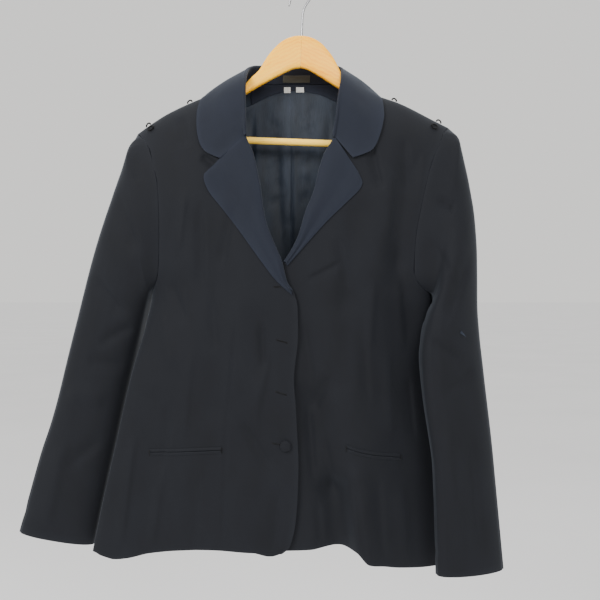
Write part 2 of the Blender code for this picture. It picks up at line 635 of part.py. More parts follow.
def armhole_loop(side, front):
    """Points of an armhole's front or back half, from the shoulder tip to the underarm."""
    line = ARMHOLE_LINE[side]
    high, low = ARMHOLE[side][-1].z, UNDERARM[side]
    fine = []
    for i in range(ARMHOLE_SAMPLES + 1):
        z = mix(high, low, 1 - (1 - i / ARMHOLE_SAMPLES) ** ARMHOLE_CLOSE)
        x = line.at("x", z)
        fine.append(Vector((x, body_y(x, z, front), z)))
    lengths = [0.0]
    for a, b in zip(fine, fine[1:]):
        lengths.append(lengths[-1] + (b - a).length)
    points = []
    for i in range(SLEEVE_STEPS + 1):
        want = lengths[-1] * i / SLEEVE_STEPS
        at = min(len(fine) - 2, bisect_right(lengths, want) - 1)
        share = (want - lengths[at]) / (lengths[at + 1] - lengths[at])
        points.append(fine[at].lerp(fine[at + 1], share))
    return points


def in_body(point, clear):
    """Whether a point lies in the body form with a clearance round it."""
    side = RIGHT if point.x < CENTRE else LEFT
    edge = tip(side, point.z)
    if (point.x - edge) * side > clear:
        return False
    x = point.x - side * clear
    x = x if (edge - x) * side > 0 else edge
    near, far = body_y(x, point.z, True), body_y(x, point.z, False)
    return near - clear < point.y < far + clear


def press_out(side, point, clear):
    """Move a sleeve's point straight away from the body's inside until it is clear."""
    core = Vector((tip(side, point.z) - side * PRESS_CORE, PRESS_CORE_Y, point.z))
    way = (point - core).normalized() * PRESS_STEP
    for _ in range(PRESS_LIMIT):
        if not in_body(point, clear):
            break
        point = point + way
    return point


def sleeve_half(side, front):
    """Outer points of a sleeve's front or back piece, from the armhole to the cuff."""
    first = armhole_loop(side, front)
    sections = [first]
    for ring in SLEEVE[side]:
        outer = Vector((ring.outer_x, ring.outer_y, ring.outer_z))
        inner = Vector((ring.inner_x, ring.inner_y, ring.inner_z))
        middle, half = (outer + inner) / 2, (outer - inner) / 2
        depth = -ring.front if front else ring.back
        section = []
        for i in range(SLEEVE_STEPS + 1):
            angle = math.pi * i / SLEEVE_STEPS
            swell = depth * math.sin(angle) ** SLEEVE_SWELL
            section.append(middle + half * math.cos(angle) + Vector((0, swell, 0)))
        sections.append(section)
    count = len(SLEEVE[side])
    keys = [0.0] + [mix(HEAD_SHARE, 1.0, i / (count - 1)) for i in range(count)]
    rows = []
    for r in range(SLEEVE_RINGS + 1):
        at = (r / SLEEVE_RINGS) ** SLEEVE_CLOSE
        row = []
        for c in range(SLEEVE_STEPS + 1):
            track = [section[c] for section in sections]
            point = Vector([smooth(keys, [p[axis] for p in track], at) for axis in range(3)])
            drop = min(1.0, max(0.0, (UNDERARM[side] + SLEEVE_TOP_EASE - point.z) / SLEEVE_NEAR))
            if r > 0 and drop > 0:
                point = press_out(side, point, SLEEVE_CLEAR * drop)
            row.append(point)
        rows.append(row)
    for c in range(SLEEVE_STEPS + 1):
        away = rows[1][c] - rows[0][c]
        mitre = HEAD_MITRE * (1 - c / SLEEVE_STEPS) + HEAD_SEAM
        rows[0][c] += away.normalized() * mitre
    return rows


def lapel_grid(side, tree):
    """Outer points of a lapel, lying on its front, from the break up to the gorge."""
    edge = Track(LAPEL_EDGE[side], "z")
    low, high = ROLL_SPAN[side]
    rows = []
    for r in range(LAPEL_ROWS + 1):
        t = r / LAPEL_ROWS
        roll_z = mix(low, high, t)
        roll = Vector((EDGE_LINE[side].at("x", roll_z) + side * ROLL_INSET, 0, roll_z))
        edge_z = mix(LAPEL_EDGE[side][0].z, LAPEL_EDGE[side][-1].z, t ** LAPEL_EDGE_POWER)
        outer = Vector((edge.at("x", edge_z), 0, edge_z))
        if r == LAPEL_ROWS:
            outer = Vector((LAPEL_TOP[side].x, 0, LAPEL_TOP[side].z))
        row = []
        for c in range(LAPEL_COLUMNS + 1):
            s = c / LAPEL_COLUMNS
            place = roll.lerp(outer, s)
            wave = math.sin(math.pi * min(1.0, s * ROLL_WAVE + ROLL_START))
            lift = LAPEL_LIFT + LAPEL_ROLL * wave * (1 - s)
            row.append(on_surface(tree, place.x, place.z, lift))
        rows.append(row)
    return rows


def collar_stations():
    """The collar's table read finer, as dictionaries of its columns."""
    keys = list(range(len(COLLAR)))
    columns = [name for name in Station._fields if name != "where"]
    values = {name: [getattr(row, name) for row in COLLAR] for name in columns}
    stations = []
    for i in range((len(COLLAR) - 1) * COLLAR_STEPS + 1):
        at = i / COLLAR_STEPS
        station = {name: smooth(keys, values[name], at) for name in columns}
        stations.append(station)
    return stations


def seam_line():
    """The neck seam's points, one for each row of the collar's table."""
    points = []
    for row in COLLAR:
        side = RIGHT if row.seam_x < CENTRE else LEFT
        if row.where == "front":
            y = front_y(side, row.seam_x, row.seam_z) - NECK_SEAM
            points.append(Vector((row.seam_x, y, row.seam_z)))
        else:
            y = body_y(row.seam_x, row.seam_z, False)
            y -= WALL * ramp(0.0, FOLD_FADE, y)
            points.append(Vector((row.seam_x, y, row.seam_z + NECK_SEAM)))
    return points


def over_panels(point, clear):
    """Lift a point of the collar's fall off the shoulders, straight out from inside them."""
    core = Vector((point.x * LIFT_CORE_X, 0.0, SHOULDER_LINE.at("z", point.x) - LIFT_CORE_Z))
    way = (point - core).normalized() * LIFT_STEP
    for _ in range(LIFT_LIMIT):
        roof = SHOULDER_LINE.at("z", point.x) + clear
        near, far = body_y(point.x, point.z, True), body_y(point.x, point.z, False)
        if point.z > roof and point.y < LIFT_BACK:
            break
        if not near - clear < point.y < far + clear:
            break
        point = point + way
    return point


def collar_grid():
    """Outer points of the collar: up the stand, over the fold and down the fall."""
    seams = seam_line()
    keys = list(range(len(COLLAR)))
    rows = []
    for i, station in enumerate(collar_stations()):
        at = i / COLLAR_STEPS
        seam = Vector([smooth(keys, [p[axis] for p in seams], at) for axis in range(3)])
        fold = Vector((station["fold_x"], station["fold_y"], station["fold_z"]))
        edge = Vector((station["edge_x"], station["edge_y"], station["edge_z"]))
        up = (fold - seam).normalized()
        out = edge - fold
        out = (out - up * out.dot(up)).normalized()
        heart = fold - up * FOLD_RADIUS
        inner, outer = heart - out * FOLD_RADIUS, heart + out * FOLD_RADIUS
        row = [seam, seam.lerp(inner, 0.5), inner]
        for angle in ROLL_ANGLES:
            turn = math.radians(angle)
            row.append(heart - out * FOLD_RADIUS * math.cos(turn) + up * FOLD_RADIUS * math.sin(turn))
        row.append(outer)
        for s in FALL_SHARES:
            point = outer.lerp(edge, s) + out * FALL_BULGE * math.sin(math.pi * s)
            row.append(over_panels(point, COLLAR_CLEAR))
        rows.append(row)
    return rows


def welt_grid(side, tree, above):
    """Outer points of one welt, on the front beside the pocket's slit."""
    line = Track(SLIT[side], "x")
    start, end = SLIT[side][0].x, SLIT[side][-1].x
    rows = []
    for r in range(3):
        offset = WELT_SLIT + WELT_HEIGHT * r / 2
        row = []
        for c in range(WELT_COLUMNS + 1):
            x = mix(start, end, c / WELT_COLUMNS)
            z = line.at("z", x) + (offset if above else -offset)
            row.append(on_surface(tree, x, z, TRIM_WALL + WELT_CLEAR))
        rows.append(row)
    return rows


def lining_grid():
    """Points of the back lining's visible face, hanging free inside the back's folds."""
    rows = []
    for r in range(LINING_ROWS + 1):
        t = r / LINING_ROWS
        row = []
        for c in range(LINING_COLUMNS + 1):
            v = mix(-LINING_SPAN, LINING_SPAN, c / LINING_COLUMNS)
            side = RIGHT if v < 0 else LEFT
            x_top = CENTRE + v * LINING_TOP_HALF
            x_low = CENTRE + abs(v) * (tip(side, LINING_LOW) - CENTRE)
            z = mix(LINING_HEM, LINING_TOP_LINE.at("z", x_top), t)
            x = mix(x_low, x_top, ramp(LINING_NARROW, 1.0, t))
            inside = LINED + LINING_FREE * (1 - ramp(LINING_SEWN, 1.0, t))
            row.append(Vector((x, body_y(x, z, False) - inside, z)))
        rows.append(row)
    return rows


def facing_grid(tree):
    """Points of the neck facing's visible face, between the neck seam and the lining."""
    rows = []
    for r in range(FACING_ROWS + 1):
        row = []
        for c in range(FACING_COLUMNS + 1):
            x = mix(FACING_RIGHT, FACING_LEFT, c / FACING_COLUMNS)
            high = BACK_NECK_LINE.at("z", x) - FACING_DROP
            low = LINING_TOP_LINE.at("z", x) + 2 * SEAM
            z = mix(low, high, r / FACING_ROWS)
            row.append(on_surface(tree, x, z, -LINED, from_front=False))
        rows.append(row)
    return rows


def patch_grid(box, behind, wall):
    """A small flat piece inside the neck, just in front of what it is sewn to."""
    x0, x1, z0, z1 = box
    rows = []
    for r in range(PATCH_ROWS + 1):
        row = []
        for c in range(PATCH_COLUMNS + 1):
            x = mix(x0, x1, c / PATCH_COLUMNS)
            z = mix(z0, z1, r / PATCH_ROWS)
            row.append(behind(x, z) - Vector((0, wall + 2 * SEAM, 0)))
        rows.append(row)
    return rows


def wire(name, points, radius, material, group, parent=None):
    """A round wire or cord along points, with closed ends."""
    data = bpy.data.curves.new(name, "CURVE")
    data.dimensions = "3D"
    data.bevel_depth = radius
    data.bevel_resolution = 2
    data.use_fill_caps = True
    spline = data.splines.new("POLY")
    spline.points.add(len(points) - 1)
    for knot, point in zip(spline.points, points):
        knot.co = (*point, 1.0)
    data.materials.append(material)
    obj = bpy.data.objects.new(name, data)
    obj.parent = parent
    group.objects.link(obj)
    return obj


def turned(name, profile, material, group):
    """A turned piece about +Z from a profile that runs down its outer side."""
    mesh = bpy.data.meshes.new(name)
    edges = [(i, i + 1) for i in range(len(profile) - 1)]
    mesh.from_pydata([(r, 0, z) for r, z in profile], edges, [])
    obj = add_object(name, mesh, material, group)
    screw = obj.modifiers.new("turn", "SCREW")
    screw.steps = TURN_STEPS
    screw.render_steps = TURN_STEPS
    screw.use_merge_vertices = True
    screw.merge_threshold = TURN_MERGE
    return obj


def make_button(tree, material, group):
    """The covered button: a domed disc on a short shank."""
    profile = [(0.0, SHANK_HEIGHT + BUTTON_HEIGHT)]
    for angle in DOME_ANGLES:
        turn = math.radians(angle)
        height = SHANK_HEIGHT + BUTTON_HEIGHT * mix(DOME_FOOT, 1.0, math.sin(turn))
        profile.append((BUTTON_RADIUS * math.cos(turn), height))
    profile.append((BUTTON_RADIUS, SHANK_HEIGHT + RIM_LOW * BUTTON_HEIGHT))
    profile.append((BUTTON_RADIUS * RIM_INSET, SHANK_HEIGHT))
    profile += [(SHANK_RADIUS, SHANK_HEIGHT), (SHANK_RADIUS, 0.0), (0.0, 0.0)]
    obj = turned("button", profile, material, group)
    obj.rotation_euler = (math.pi / 2, 0, 0)
    obj.location = on_surface(tree, BUTTON.x, BUTTON.z, CLEAR)


def make_loops(trees, material, group):
    """Four cord loops standing on the shoulder seams, and two rings lying below them."""
    for loop in LOOPS:
        points = []
        for i in range(LOOP_POINTS):
            turn = math.pi * i / (LOOP_POINTS - 1)
            x = loop.x - loop.half * math.cos(turn)
            z = SHOULDER_LINE.at("z", x) + LOOP_LIFT + loop.rise * math.sin(turn)
            points.append((x, -LOOP_FRONT - LOOP_LEAN * math.sin(turn), z))
        wire(loop.name, points, CORD_RADIUS, material, group)
    for name, place in RINGS.items():
        side = RIGHT if place.x < CENTRE else LEFT
        centre = on_surface(trees[side], place.x, place.z, 0.0)
        above = on_surface(trees[side], place.x, place.z + RING_STEP, 0.0)
        beside = on_surface(trees[side], place.x + RING_STEP, place.z, 0.0)
        normal = (beside - centre).cross(above - centre).normalized()
        bpy.ops.mesh.primitive_torus_add(
            major_segments=16, minor_segments=6, major_radius=RING_MAJOR, minor_radius=RING_MINOR)
        obj = bpy.context.object
        obj.name = name
        obj.location = centre + normal * (RING_MINOR + RING_CLEAR)
        obj.rotation_euler = normal.to_track_quat("Z", "Y").to_euler()
        obj.data.materials.append(material)
        for other in obj.users_collection:
            other.objects.unlink(obj)
        group.objects.link(obj)


def arm_mesh(name, side):
    """One hanger arm as a loft of rounded upright sections."""
    line = Track(ARM, "x")
    fine = []
    for a, b in zip(ARM, ARM[1:]):
        fine += [a.x, (a.x + b.x) / 2] if b.x - a.x > ARM_STEP else [a.x]
    fine.append(ARM[-1].x)
    work = bmesh.new()
    rings = []
    for x in fine:
        top, bottom = line.at("top", x), line.at("bottom", x)
        half, middle = (top - bottom) / 2, WOOD_TOP + (top + bottom) / 2
        thin = WOOD_HALF if x < ARM_END else WOOD_HALF * ARM_END_THIN
        ring = []
        for i in range(ARM_SIDES):
            turn = 2 * math.pi * (i + 0.5) / ARM_SIDES
            across, up = math.cos(turn), math.sin(turn)
            y = thin * math.copysign(abs(across) ** ARM_POWER, across)
            z = middle + half * math.copysign(abs(up) ** ARM_POWER, up)
            ring.append(work.verts.new((side * x, y, z)))
        rings.append(ring)
    for a, b in zip(rings, rings[1:]):
        for i in range(ARM_SIDES):
            j = (i + 1) % ARM_SIDES
            work.faces.new((a[i], a[j], b[j], b[i]))
    work.faces.new(rings[0])
    work.faces.new(rings[-1])
    bmesh.ops.recalc_face_normals(work, faces=work.faces)
    mesh = bpy.data.meshes.new(name)
    work.to_mesh(mesh)
    work.free()
    return mesh


def cylinder(name, radius, start, end, group, sides=16):
    """A round bar between two points as a mesh."""
    start, end = Vector(start), Vector(end)
    bpy.ops.mesh.primitive_cylinder_add(vertices=sides, radius=radius, depth=(end - start).length)
    obj = bpy.context.object
    obj.name = name
    obj.location = (start + end) / 2
    obj.rotation_euler = (end - start).to_track_quat("Z", "Y").to_euler()
    for other in obj.users_collection:
        other.objects.unlink(obj)
    group.objects.link(obj)
    return obj


def hook_points():
    """The hook's centre line from the wood up, round the loop and down to its open tip."""
    centre_z = WIRE_RADIUS - HOOK_RADIUS
    line = [Point(0.0, WOOD_TOP - HOOK_DEPTH)] + HOOK_STEM
    for i in range(HOOK_STEPS + 1):
        turn = math.radians(mix(HOOK_FROM, HOOK_TO, i / HOOK_STEPS))
        across, up = HOOK_RADIUS * math.cos(turn), HOOK_RADIUS * math.sin(turn)
        line.append(Point(HOOK_CENTRE_X + across, centre_z + up))
    return [(point.x, 0.0, point.z) for point in line + HOOK_TIP]


def make_hanger(group, cutters):
    """Two wooden arms, the round bar between them and the wire hook."""
    wood = finish("pale_wood", (0.80, 0.56, 0.28), 0.38)
    bar_wood = finish("bar_wood", (0.82, 0.62, 0.36), 0.45)
    steel = finish("hook_steel", (0.55, 0.55, 0.56), 0.3, 1.0)
    tilt = bpy.data.objects.new("hanger_tilt", None)
    tilt.rotation_euler = (0, HANGER_TILT, 0)
    group.objects.link(tilt)
    slot = cylinder("cut_bar_seat", BAR_RADIUS + SEAT_GAP, (-BAR_HALF - SEAT_GAP, 0, BAR_HEIGHT),
                    (BAR_HALF + SEAT_GAP, 0, BAR_HEIGHT), cutters)
    bore = cylinder("cut_hook_seat", WIRE_RADIUS + SEAT_GAP, (0, 0, WOOD_TOP - HOOK_DEPTH - SEAT_GAP),
                    (0, 0, WOOD_TOP + 0.01), cutters)
    for cutter in (slot, bore):
        cutter.parent = tilt
        cutter.hide_render = True
        cutter.display_type = "WIRE"
    for side, hand_name in HANDS.items():
        name = "hanger_arm_" + hand_name
        arm = add_object(name, arm_mesh(name, side), wood, group)
        arm.parent = tilt
        for cutter in (slot, bore):
            cut = arm.modifiers.new(cutter.name, "BOOLEAN")
            cut.operation = "DIFFERENCE"
            cut.solver = "EXACT"
            cut.object = cutter
    bar = cylinder("hanger_bar", BAR_RADIUS, (-BAR_HALF, 0, BAR_HEIGHT), (BAR_HALF, 0, BAR_HEIGHT), group)
    bar.parent = tilt
    bar.data.materials.append(bar_wood)
    wire("hanger_hook", hook_points(), WIRE_RADIUS, steel, group, tilt)


def make_body(group, dark, lining):
    """Fronts, back and what lies on and in them; returns the fronts' surfaces."""
    trees = {}
    for side, hand_name in HANDS.items():
        rows = front_grid(side)
        trees[side] = surface(rows)
        trim(rows, SIDE_SEAM, SHOULDER_SEAM, columns=(-1,))
        cloth("front_" + hand_name, rows, WALL, dark, group, (CENTRE, FAR, MIDDLE_Z))
    rows = back_grid()
    back = surface(rows)
    trim(rows, SIDE_SEAM, SHOULDER_SEAM)
    for row in rows:
        if UNDERARM[LEFT] < row[-1].z < UNDERARM[LEFT] + UNDERARM_EASE:
            row[-1] += (row[-2] - row[-1]).normalized() * UNDERARM_SEAM
    cloth("back", rows, WALL, dark, group, (CENTRE, -FAR, MIDDLE_Z))
    cloth("back_lining", lining_grid(), LINING_WALL, lining, group, (CENTRE, FAR, MIDDLE_Z))
    cloth("neck_facing", facing_grid(back), LINING_WALL, dark, group, (CENTRE, FAR, MIDDLE_Z))
    return trees


def make_lapels(trees, group, facing):
    for side, hand_name in HANDS.items():
        rows = lapel_grid(side, trees[side])
        cloth("lapel_" + hand_name, rows, LAPEL_WALL, facing, group, (CENTRE, FAR, CHEST_Z))


def make_sleeves(group, dark):
    for side, hand_name in HANDS.items():
        middle = SLEEVE[side][5]
        inside = ((middle.outer_x + middle.inner_x) / 2, 0.0, (middle.outer_z + middle.inner_z) / 2)
        for front, kind, back_off in ((True, "upper", FAR), (False, "under", -FAR)):
            rows = trim(sleeve_half(side, front), SLEEVE_SEAM)
            behind = (inside[0], back_off, inside[2])
            cloth(kind + "_sleeve_" + hand_name, rows, WALL, dark, group, behind)


def make_pockets(trees, group, dark):
    for side, hand_name in HANDS.items():
        for above, place in ((True, "upper"), (False, "lower")):
            rows = welt_grid(side, trees[side], above)
            name = "pocket_welt_" + hand_name + "_" + place
            cloth(name, rows, TRIM_WALL, dark, group, (CENTRE, FAR, POCKET_Z))


def make_neck_patches(group, collar_rows):
    """The bare label on the stand and the two small tabs below it."""
    bare = finish("label_cloth", (0.10, 0.09, 0.05), 0.8)
    white = finish("tab_cloth", (0.75, 0.75, 0.73), 0.8)
    stand = surface(collar_rows)
    back = surface(back_grid())

    def on_stand(x, z):
        return on_surface(stand, x, z, 0.0)

    def on_facing(x, z):
        return on_surface(back, x, z, -LINED, from_front=False)

    behind = (CENTRE, FAR, NECK_Z)
    cloth("neck_label", patch_grid(LABEL, on_stand, LABEL_WALL), LABEL_WALL, bare, group, behind)
    for name, box in TABS.items():
        cloth(name, patch_grid(box, on_facing, LABEL_WALL), LABEL_WALL, white, group, behind)


def main():
    clear_scene()
    group = collection(NAME)
    cutters = collection("cutters")
    dark = finish("dark_cloth", (0.012, 0.014, 0.022), 0.85)
    facing = finish("facing_cloth", (0.018, 0.021, 0.032), 0.8)
    lining = finish("lining_satin", (0.03, 0.045, 0.065), 0.4)
    cord = finish("black_cord", (0.01, 0.01, 0.012), 0.6)
    trees = make_body(group, dark, lining)
    make_lapels(trees, group, facing)
    make_sleeves(group, dark)
    collar_rows = collar_grid()
    cloth("collar", collar_rows, COLLAR_WALL, facing, group, (CENTRE, 0.0, COLLAR_HEART_Z))
    make_neck_patches(group, collar_rows)
    make_pockets(trees, group, dark)
    make_button(trees[RIGHT], dark, group)
    make_loops(trees, cord, group)
    make_hanger(group, cutters)


main()
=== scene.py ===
"""Dark uniform jacket on a wooden hanger: its cloth, sewing, wood and wire, and a plain studio.

Metres, +Z up, the jacket's front towards -Y. The origin is where the hanger's hook bears on a rail.
Right and left are the wearer's, so right is towards -X.
"""
import logging
import math
from bisect import bisect_right
from collections.abc import Callable, Sequence
from dataclasses import dataclass, field
from enum import Enum, IntEnum
from typing import NamedTuple

import bpy
from mathutils import Matrix, Vector, noise
from mathutils.bvhtree import BVHTree


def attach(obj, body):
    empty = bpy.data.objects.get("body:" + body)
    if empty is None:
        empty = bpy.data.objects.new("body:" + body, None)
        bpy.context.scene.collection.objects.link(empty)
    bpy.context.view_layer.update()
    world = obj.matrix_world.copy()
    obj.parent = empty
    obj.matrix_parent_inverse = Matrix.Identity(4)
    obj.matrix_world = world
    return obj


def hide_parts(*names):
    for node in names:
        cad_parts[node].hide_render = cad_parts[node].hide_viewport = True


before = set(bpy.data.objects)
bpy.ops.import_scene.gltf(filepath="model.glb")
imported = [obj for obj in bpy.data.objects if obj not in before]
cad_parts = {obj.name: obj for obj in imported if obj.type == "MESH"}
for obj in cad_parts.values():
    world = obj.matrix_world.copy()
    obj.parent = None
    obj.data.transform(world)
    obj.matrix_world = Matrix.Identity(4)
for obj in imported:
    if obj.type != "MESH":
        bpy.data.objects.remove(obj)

LOG = logging.getLogger("jacket")
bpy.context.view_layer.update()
BODY_NAME = "root"

Rows = list[list[Vector]]
Faces = list[tuple[int, ...]]
Three = tuple[float, float, float]
Four = tuple[float, float, float, float]
Material = bpy.types.Material
Socket = bpy.types.NodeSocket


class Side(IntEnum):
    """The wearer's right and left; the value is the sign of X."""

    RIGHT = -1
    LEFT = 1


class Layer(Enum):
    """Which half of a sleeve a piece is."""

    UPPER = "upper"
    UNDER = "under"


class Slot(str, Enum):
    """The record's material slots."""

    CLOTH = "dark_cloth"
    FACING = "facing_cloth"
    LINING = "lining_satin"
    LABEL = "label_cloth"
    TAB = "tab_cloth"
    CORD = "black_cord"
    ARM = "pale_wood"
    BAR = "bar_wood"
    HOOK = "hook_steel"


RIGHT, LEFT = Side.RIGHT, Side.LEFT


class Body(NamedTuple):
    """A level section of the body form."""

    z: float
    left: float
    right: float
    front: float
    back: float
    left_y: float
    right_y: float
    left_front: float
    right_front: float
    side_back: float


class Point(NamedTuple):
    """A place seen from the front."""

    x: float
    z: float


class Fold(NamedTuple):
    """A soft straight trough, or a ridge where its depth is negative."""

    x0: float
    z0: float
    x1: float
    z1: float
    width: float
    depth: float


class Ring(NamedTuple):
    """A sleeve section: outer and inner edge points, and half depths before and behind their line."""

    outer_x: float
    outer_y: float
    outer_z: float
    inner_x: float
    inner_y: float
    inner_z: float
    front: float
    back: float


class Station(NamedTuple):
    """A place along the collar: its fold, its outer edge and its neck seam."""

    fold_x: float
    fold_y: float
    fold_z: float
    edge_x: float
    edge_y: float
    edge_z: float
    seam_x: float
    seam_z: float
    where: str


class Loop(NamedTuple):
    """A cord loop standing on a shoulder seam."""

    name: str
    x: float
    half: float
    rise: float


class Arm(NamedTuple):
    """A hanger arm's upper and lower edge at a distance from its middle."""

    x: float
    top: float
    bottom: float


class Cut(NamedTuple):
    """The flat size a piece of cloth was cut to, and its area where it isn't a rectangle."""

    width: float
    length: float
    area: float


def table(kind: type, *rows: tuple) -> list:
    """A table's rows, each as its named kind."""
    return [kind(*row) for row in rows]


BODY = table(Body,
    (-0.15, -0.275, 0.255, -0.03, 0.042, 0.0, 0.0, -0.03, -0.03, 0.04),
    (-0.25, -0.272, 0.25, -0.052, 0.046, -0.005, -0.008, -0.046, -0.044, 0.042),
    (-0.35, -0.255, 0.232, -0.067, 0.048, -0.008, -0.014, -0.055, -0.05, 0.042),
    (-0.43, -0.238, 0.203, -0.07, 0.048, -0.01, -0.018, -0.055, -0.048, 0.039),
    (-0.475, -0.2286, 0.19, -0.07, 0.048, -0.012, -0.02, -0.052, -0.045, 0.037),
    (-0.52, -0.236, 0.2, -0.069, 0.047, -0.018, -0.008, -0.052, -0.032, 0.035),
    (-0.6, -0.258, 0.214, -0.067, 0.046, -0.025, 0.004, -0.052, -0.022, 0.034),
    (-0.7, -0.28, 0.232, -0.065, 0.045, -0.028, 0.006, -0.05, -0.021, 0.034),
    (-0.8, -0.3024, 0.251, -0.063, 0.045, -0.028, 0.006, -0.048, -0.021, 0.034),
    (-0.9, -0.3225, 0.269, -0.06, 0.044, -0.028, 0.004, -0.046, -0.021, 0.034),
)
SHOULDER = table(Point,
    (-0.2534, -0.2341), (-0.2381, -0.2234), (-0.2045, -0.202), (-0.1464, -0.176), (-0.1, -0.16),
    (0.08, -0.16), (0.1085, -0.1743), (0.145, -0.187), (0.1962, -0.2127), (0.22, -0.2245),
)
BACK_TOP = table(Point,
    (-0.2534, -0.2341), (-0.2045, -0.202), (-0.1464, -0.176), (-0.1, -0.16), (-0.085, -0.1446),
    (-0.052, -0.114), (-0.016, -0.106), (0.026, -0.114), (0.064, -0.1446), (0.08, -0.16), (0.145, -0.187),
    (0.22, -0.2245),
)
BACK_NECK = table(Point,
    (-0.1, -0.16), (-0.085, -0.152), (-0.052, -0.149), (-0.016, -0.148), (0.026, -0.149), (0.064, -0.152),
    (0.08, -0.16),
)
EDGE = {
    RIGHT: table(Point,
        (-0.0318, -0.8562), (-0.0215, -0.8475), (-0.0173, -0.8359), (-0.0129, -0.8156), (-0.0095, -0.7779),
        (-0.008, -0.7345), (-0.0115, -0.6475), (-0.0144, -0.604), (-0.0086, -0.5387), (-0.0092, -0.501),
        (-0.0143, -0.4779), (-0.0245, -0.4606), (-0.0317, -0.4317), (-0.0397, -0.4128), (-0.0551, -0.3718),
        (-0.0642, -0.3154), (-0.0733, -0.2749), (-0.0843, -0.2478), (-0.0885, -0.219), (-0.0935, -0.188),
        (-0.1, -0.16),
    ),
    LEFT: table(Point,
        (-0.045, -0.853), (-0.045, -0.6), (-0.044, -0.47), (-0.0304, -0.4343), (-0.0202, -0.4183),
        (-0.0086, -0.3951), (0.003, -0.357), (0.0118, -0.3366), (0.0279, -0.2777), (0.043, -0.2503),
        (0.051, -0.22), (0.064, -0.188), (0.08, -0.16),
    ),
}
ARMHOLE = {
    RIGHT: table(Point,
        (-0.222, -0.466), (-0.2165, -0.45), (-0.2138, -0.4231), (-0.2129, -0.3704), (-0.2152, -0.3176),
        (-0.2227, -0.2872), (-0.2276, -0.2676), (-0.2433, -0.2444), (-0.2534, -0.2341),
    ),
    LEFT: table(Point,
        (0.178, -0.4715), (0.1675, -0.46), (0.162, -0.4437), (0.164, -0.3994), (0.1744, -0.3404),
        (0.1877, -0.2873), (0.1998, -0.26), (0.21, -0.237), (0.22, -0.2245),
    ),
}
HEM = {
    RIGHT: table(Point,
        (-0.3155, -0.862), (-0.295, -0.8673), (-0.2806, -0.8702), (-0.2602, -0.8683), (-0.2251, -0.8596),
        (-0.1886, -0.8537), (-0.1447, -0.8508), (-0.0745, -0.8537), (-0.0496, -0.8596), (-0.0318, -0.859),
    ),
    LEFT: table(Point,
        (-0.045, -0.854), (0.009, -0.8525), (0.0314, -0.8498), (0.0541, -0.8485), (0.0755, -0.854),
        (0.0938, -0.8713), (0.1186, -0.8771), (0.1406, -0.8815), (0.187, -0.8854), (0.265, -0.875),
    ),
}
HEM_SIDE = {RIGHT: -0.862, LEFT: -0.875}
BACK_HEM = -0.866
FOLDS = {
    RIGHT: table(Fold,
        (-0.124, -0.334, -0.13, -0.64, 0.024, 0.0045), (-0.079, -0.678, -0.047, -0.725, 0.022, 0.003),
        (-0.061, -0.517, -0.055, -0.576, 0.02, 0.0025), (-0.175, -0.3, -0.185, -0.56, 0.03, -0.003),
        (-0.222, -0.64, -0.24, -0.86, 0.026, 0.004), (-0.09, -0.76, -0.085, -0.86, 0.026, -0.0035),
    ),
    LEFT: table(Fold,
        (0.146, -0.305, 0.141, -0.43, 0.02, 0.005), (0.141, -0.43, 0.155, -0.532, 0.02, 0.004),
        (0.119, -0.312, 0.111, -0.444, 0.02, -0.0035), (0.075, -0.364, 0.06, -0.488, 0.02, 0.0045),
        (0.06, -0.488, 0.053, -0.605, 0.02, 0.004), (0.012, -0.634, 0.038, -0.751, 0.026, 0.009),
        (0.046, -0.77, 0.05, -0.87, 0.026, 0.022), (0.074, -0.751, 0.09, -0.87, 0.02, -0.008),
    ),
}
BACK_FOLDS = table(Fold,
    (-0.18, -0.3, -0.165, -0.56, 0.026, 0.005), (-0.13, -0.52, -0.14, -0.86, 0.028, -0.005),
    (-0.06, -0.48, -0.075, -0.86, 0.024, 0.006), (0.02, -0.56, 0.03, -0.86, 0.028, -0.005),
    (0.085, -0.42, 0.095, -0.86, 0.024, 0.006), (0.13, -0.28, 0.12, -0.45, 0.022, 0.005),
)
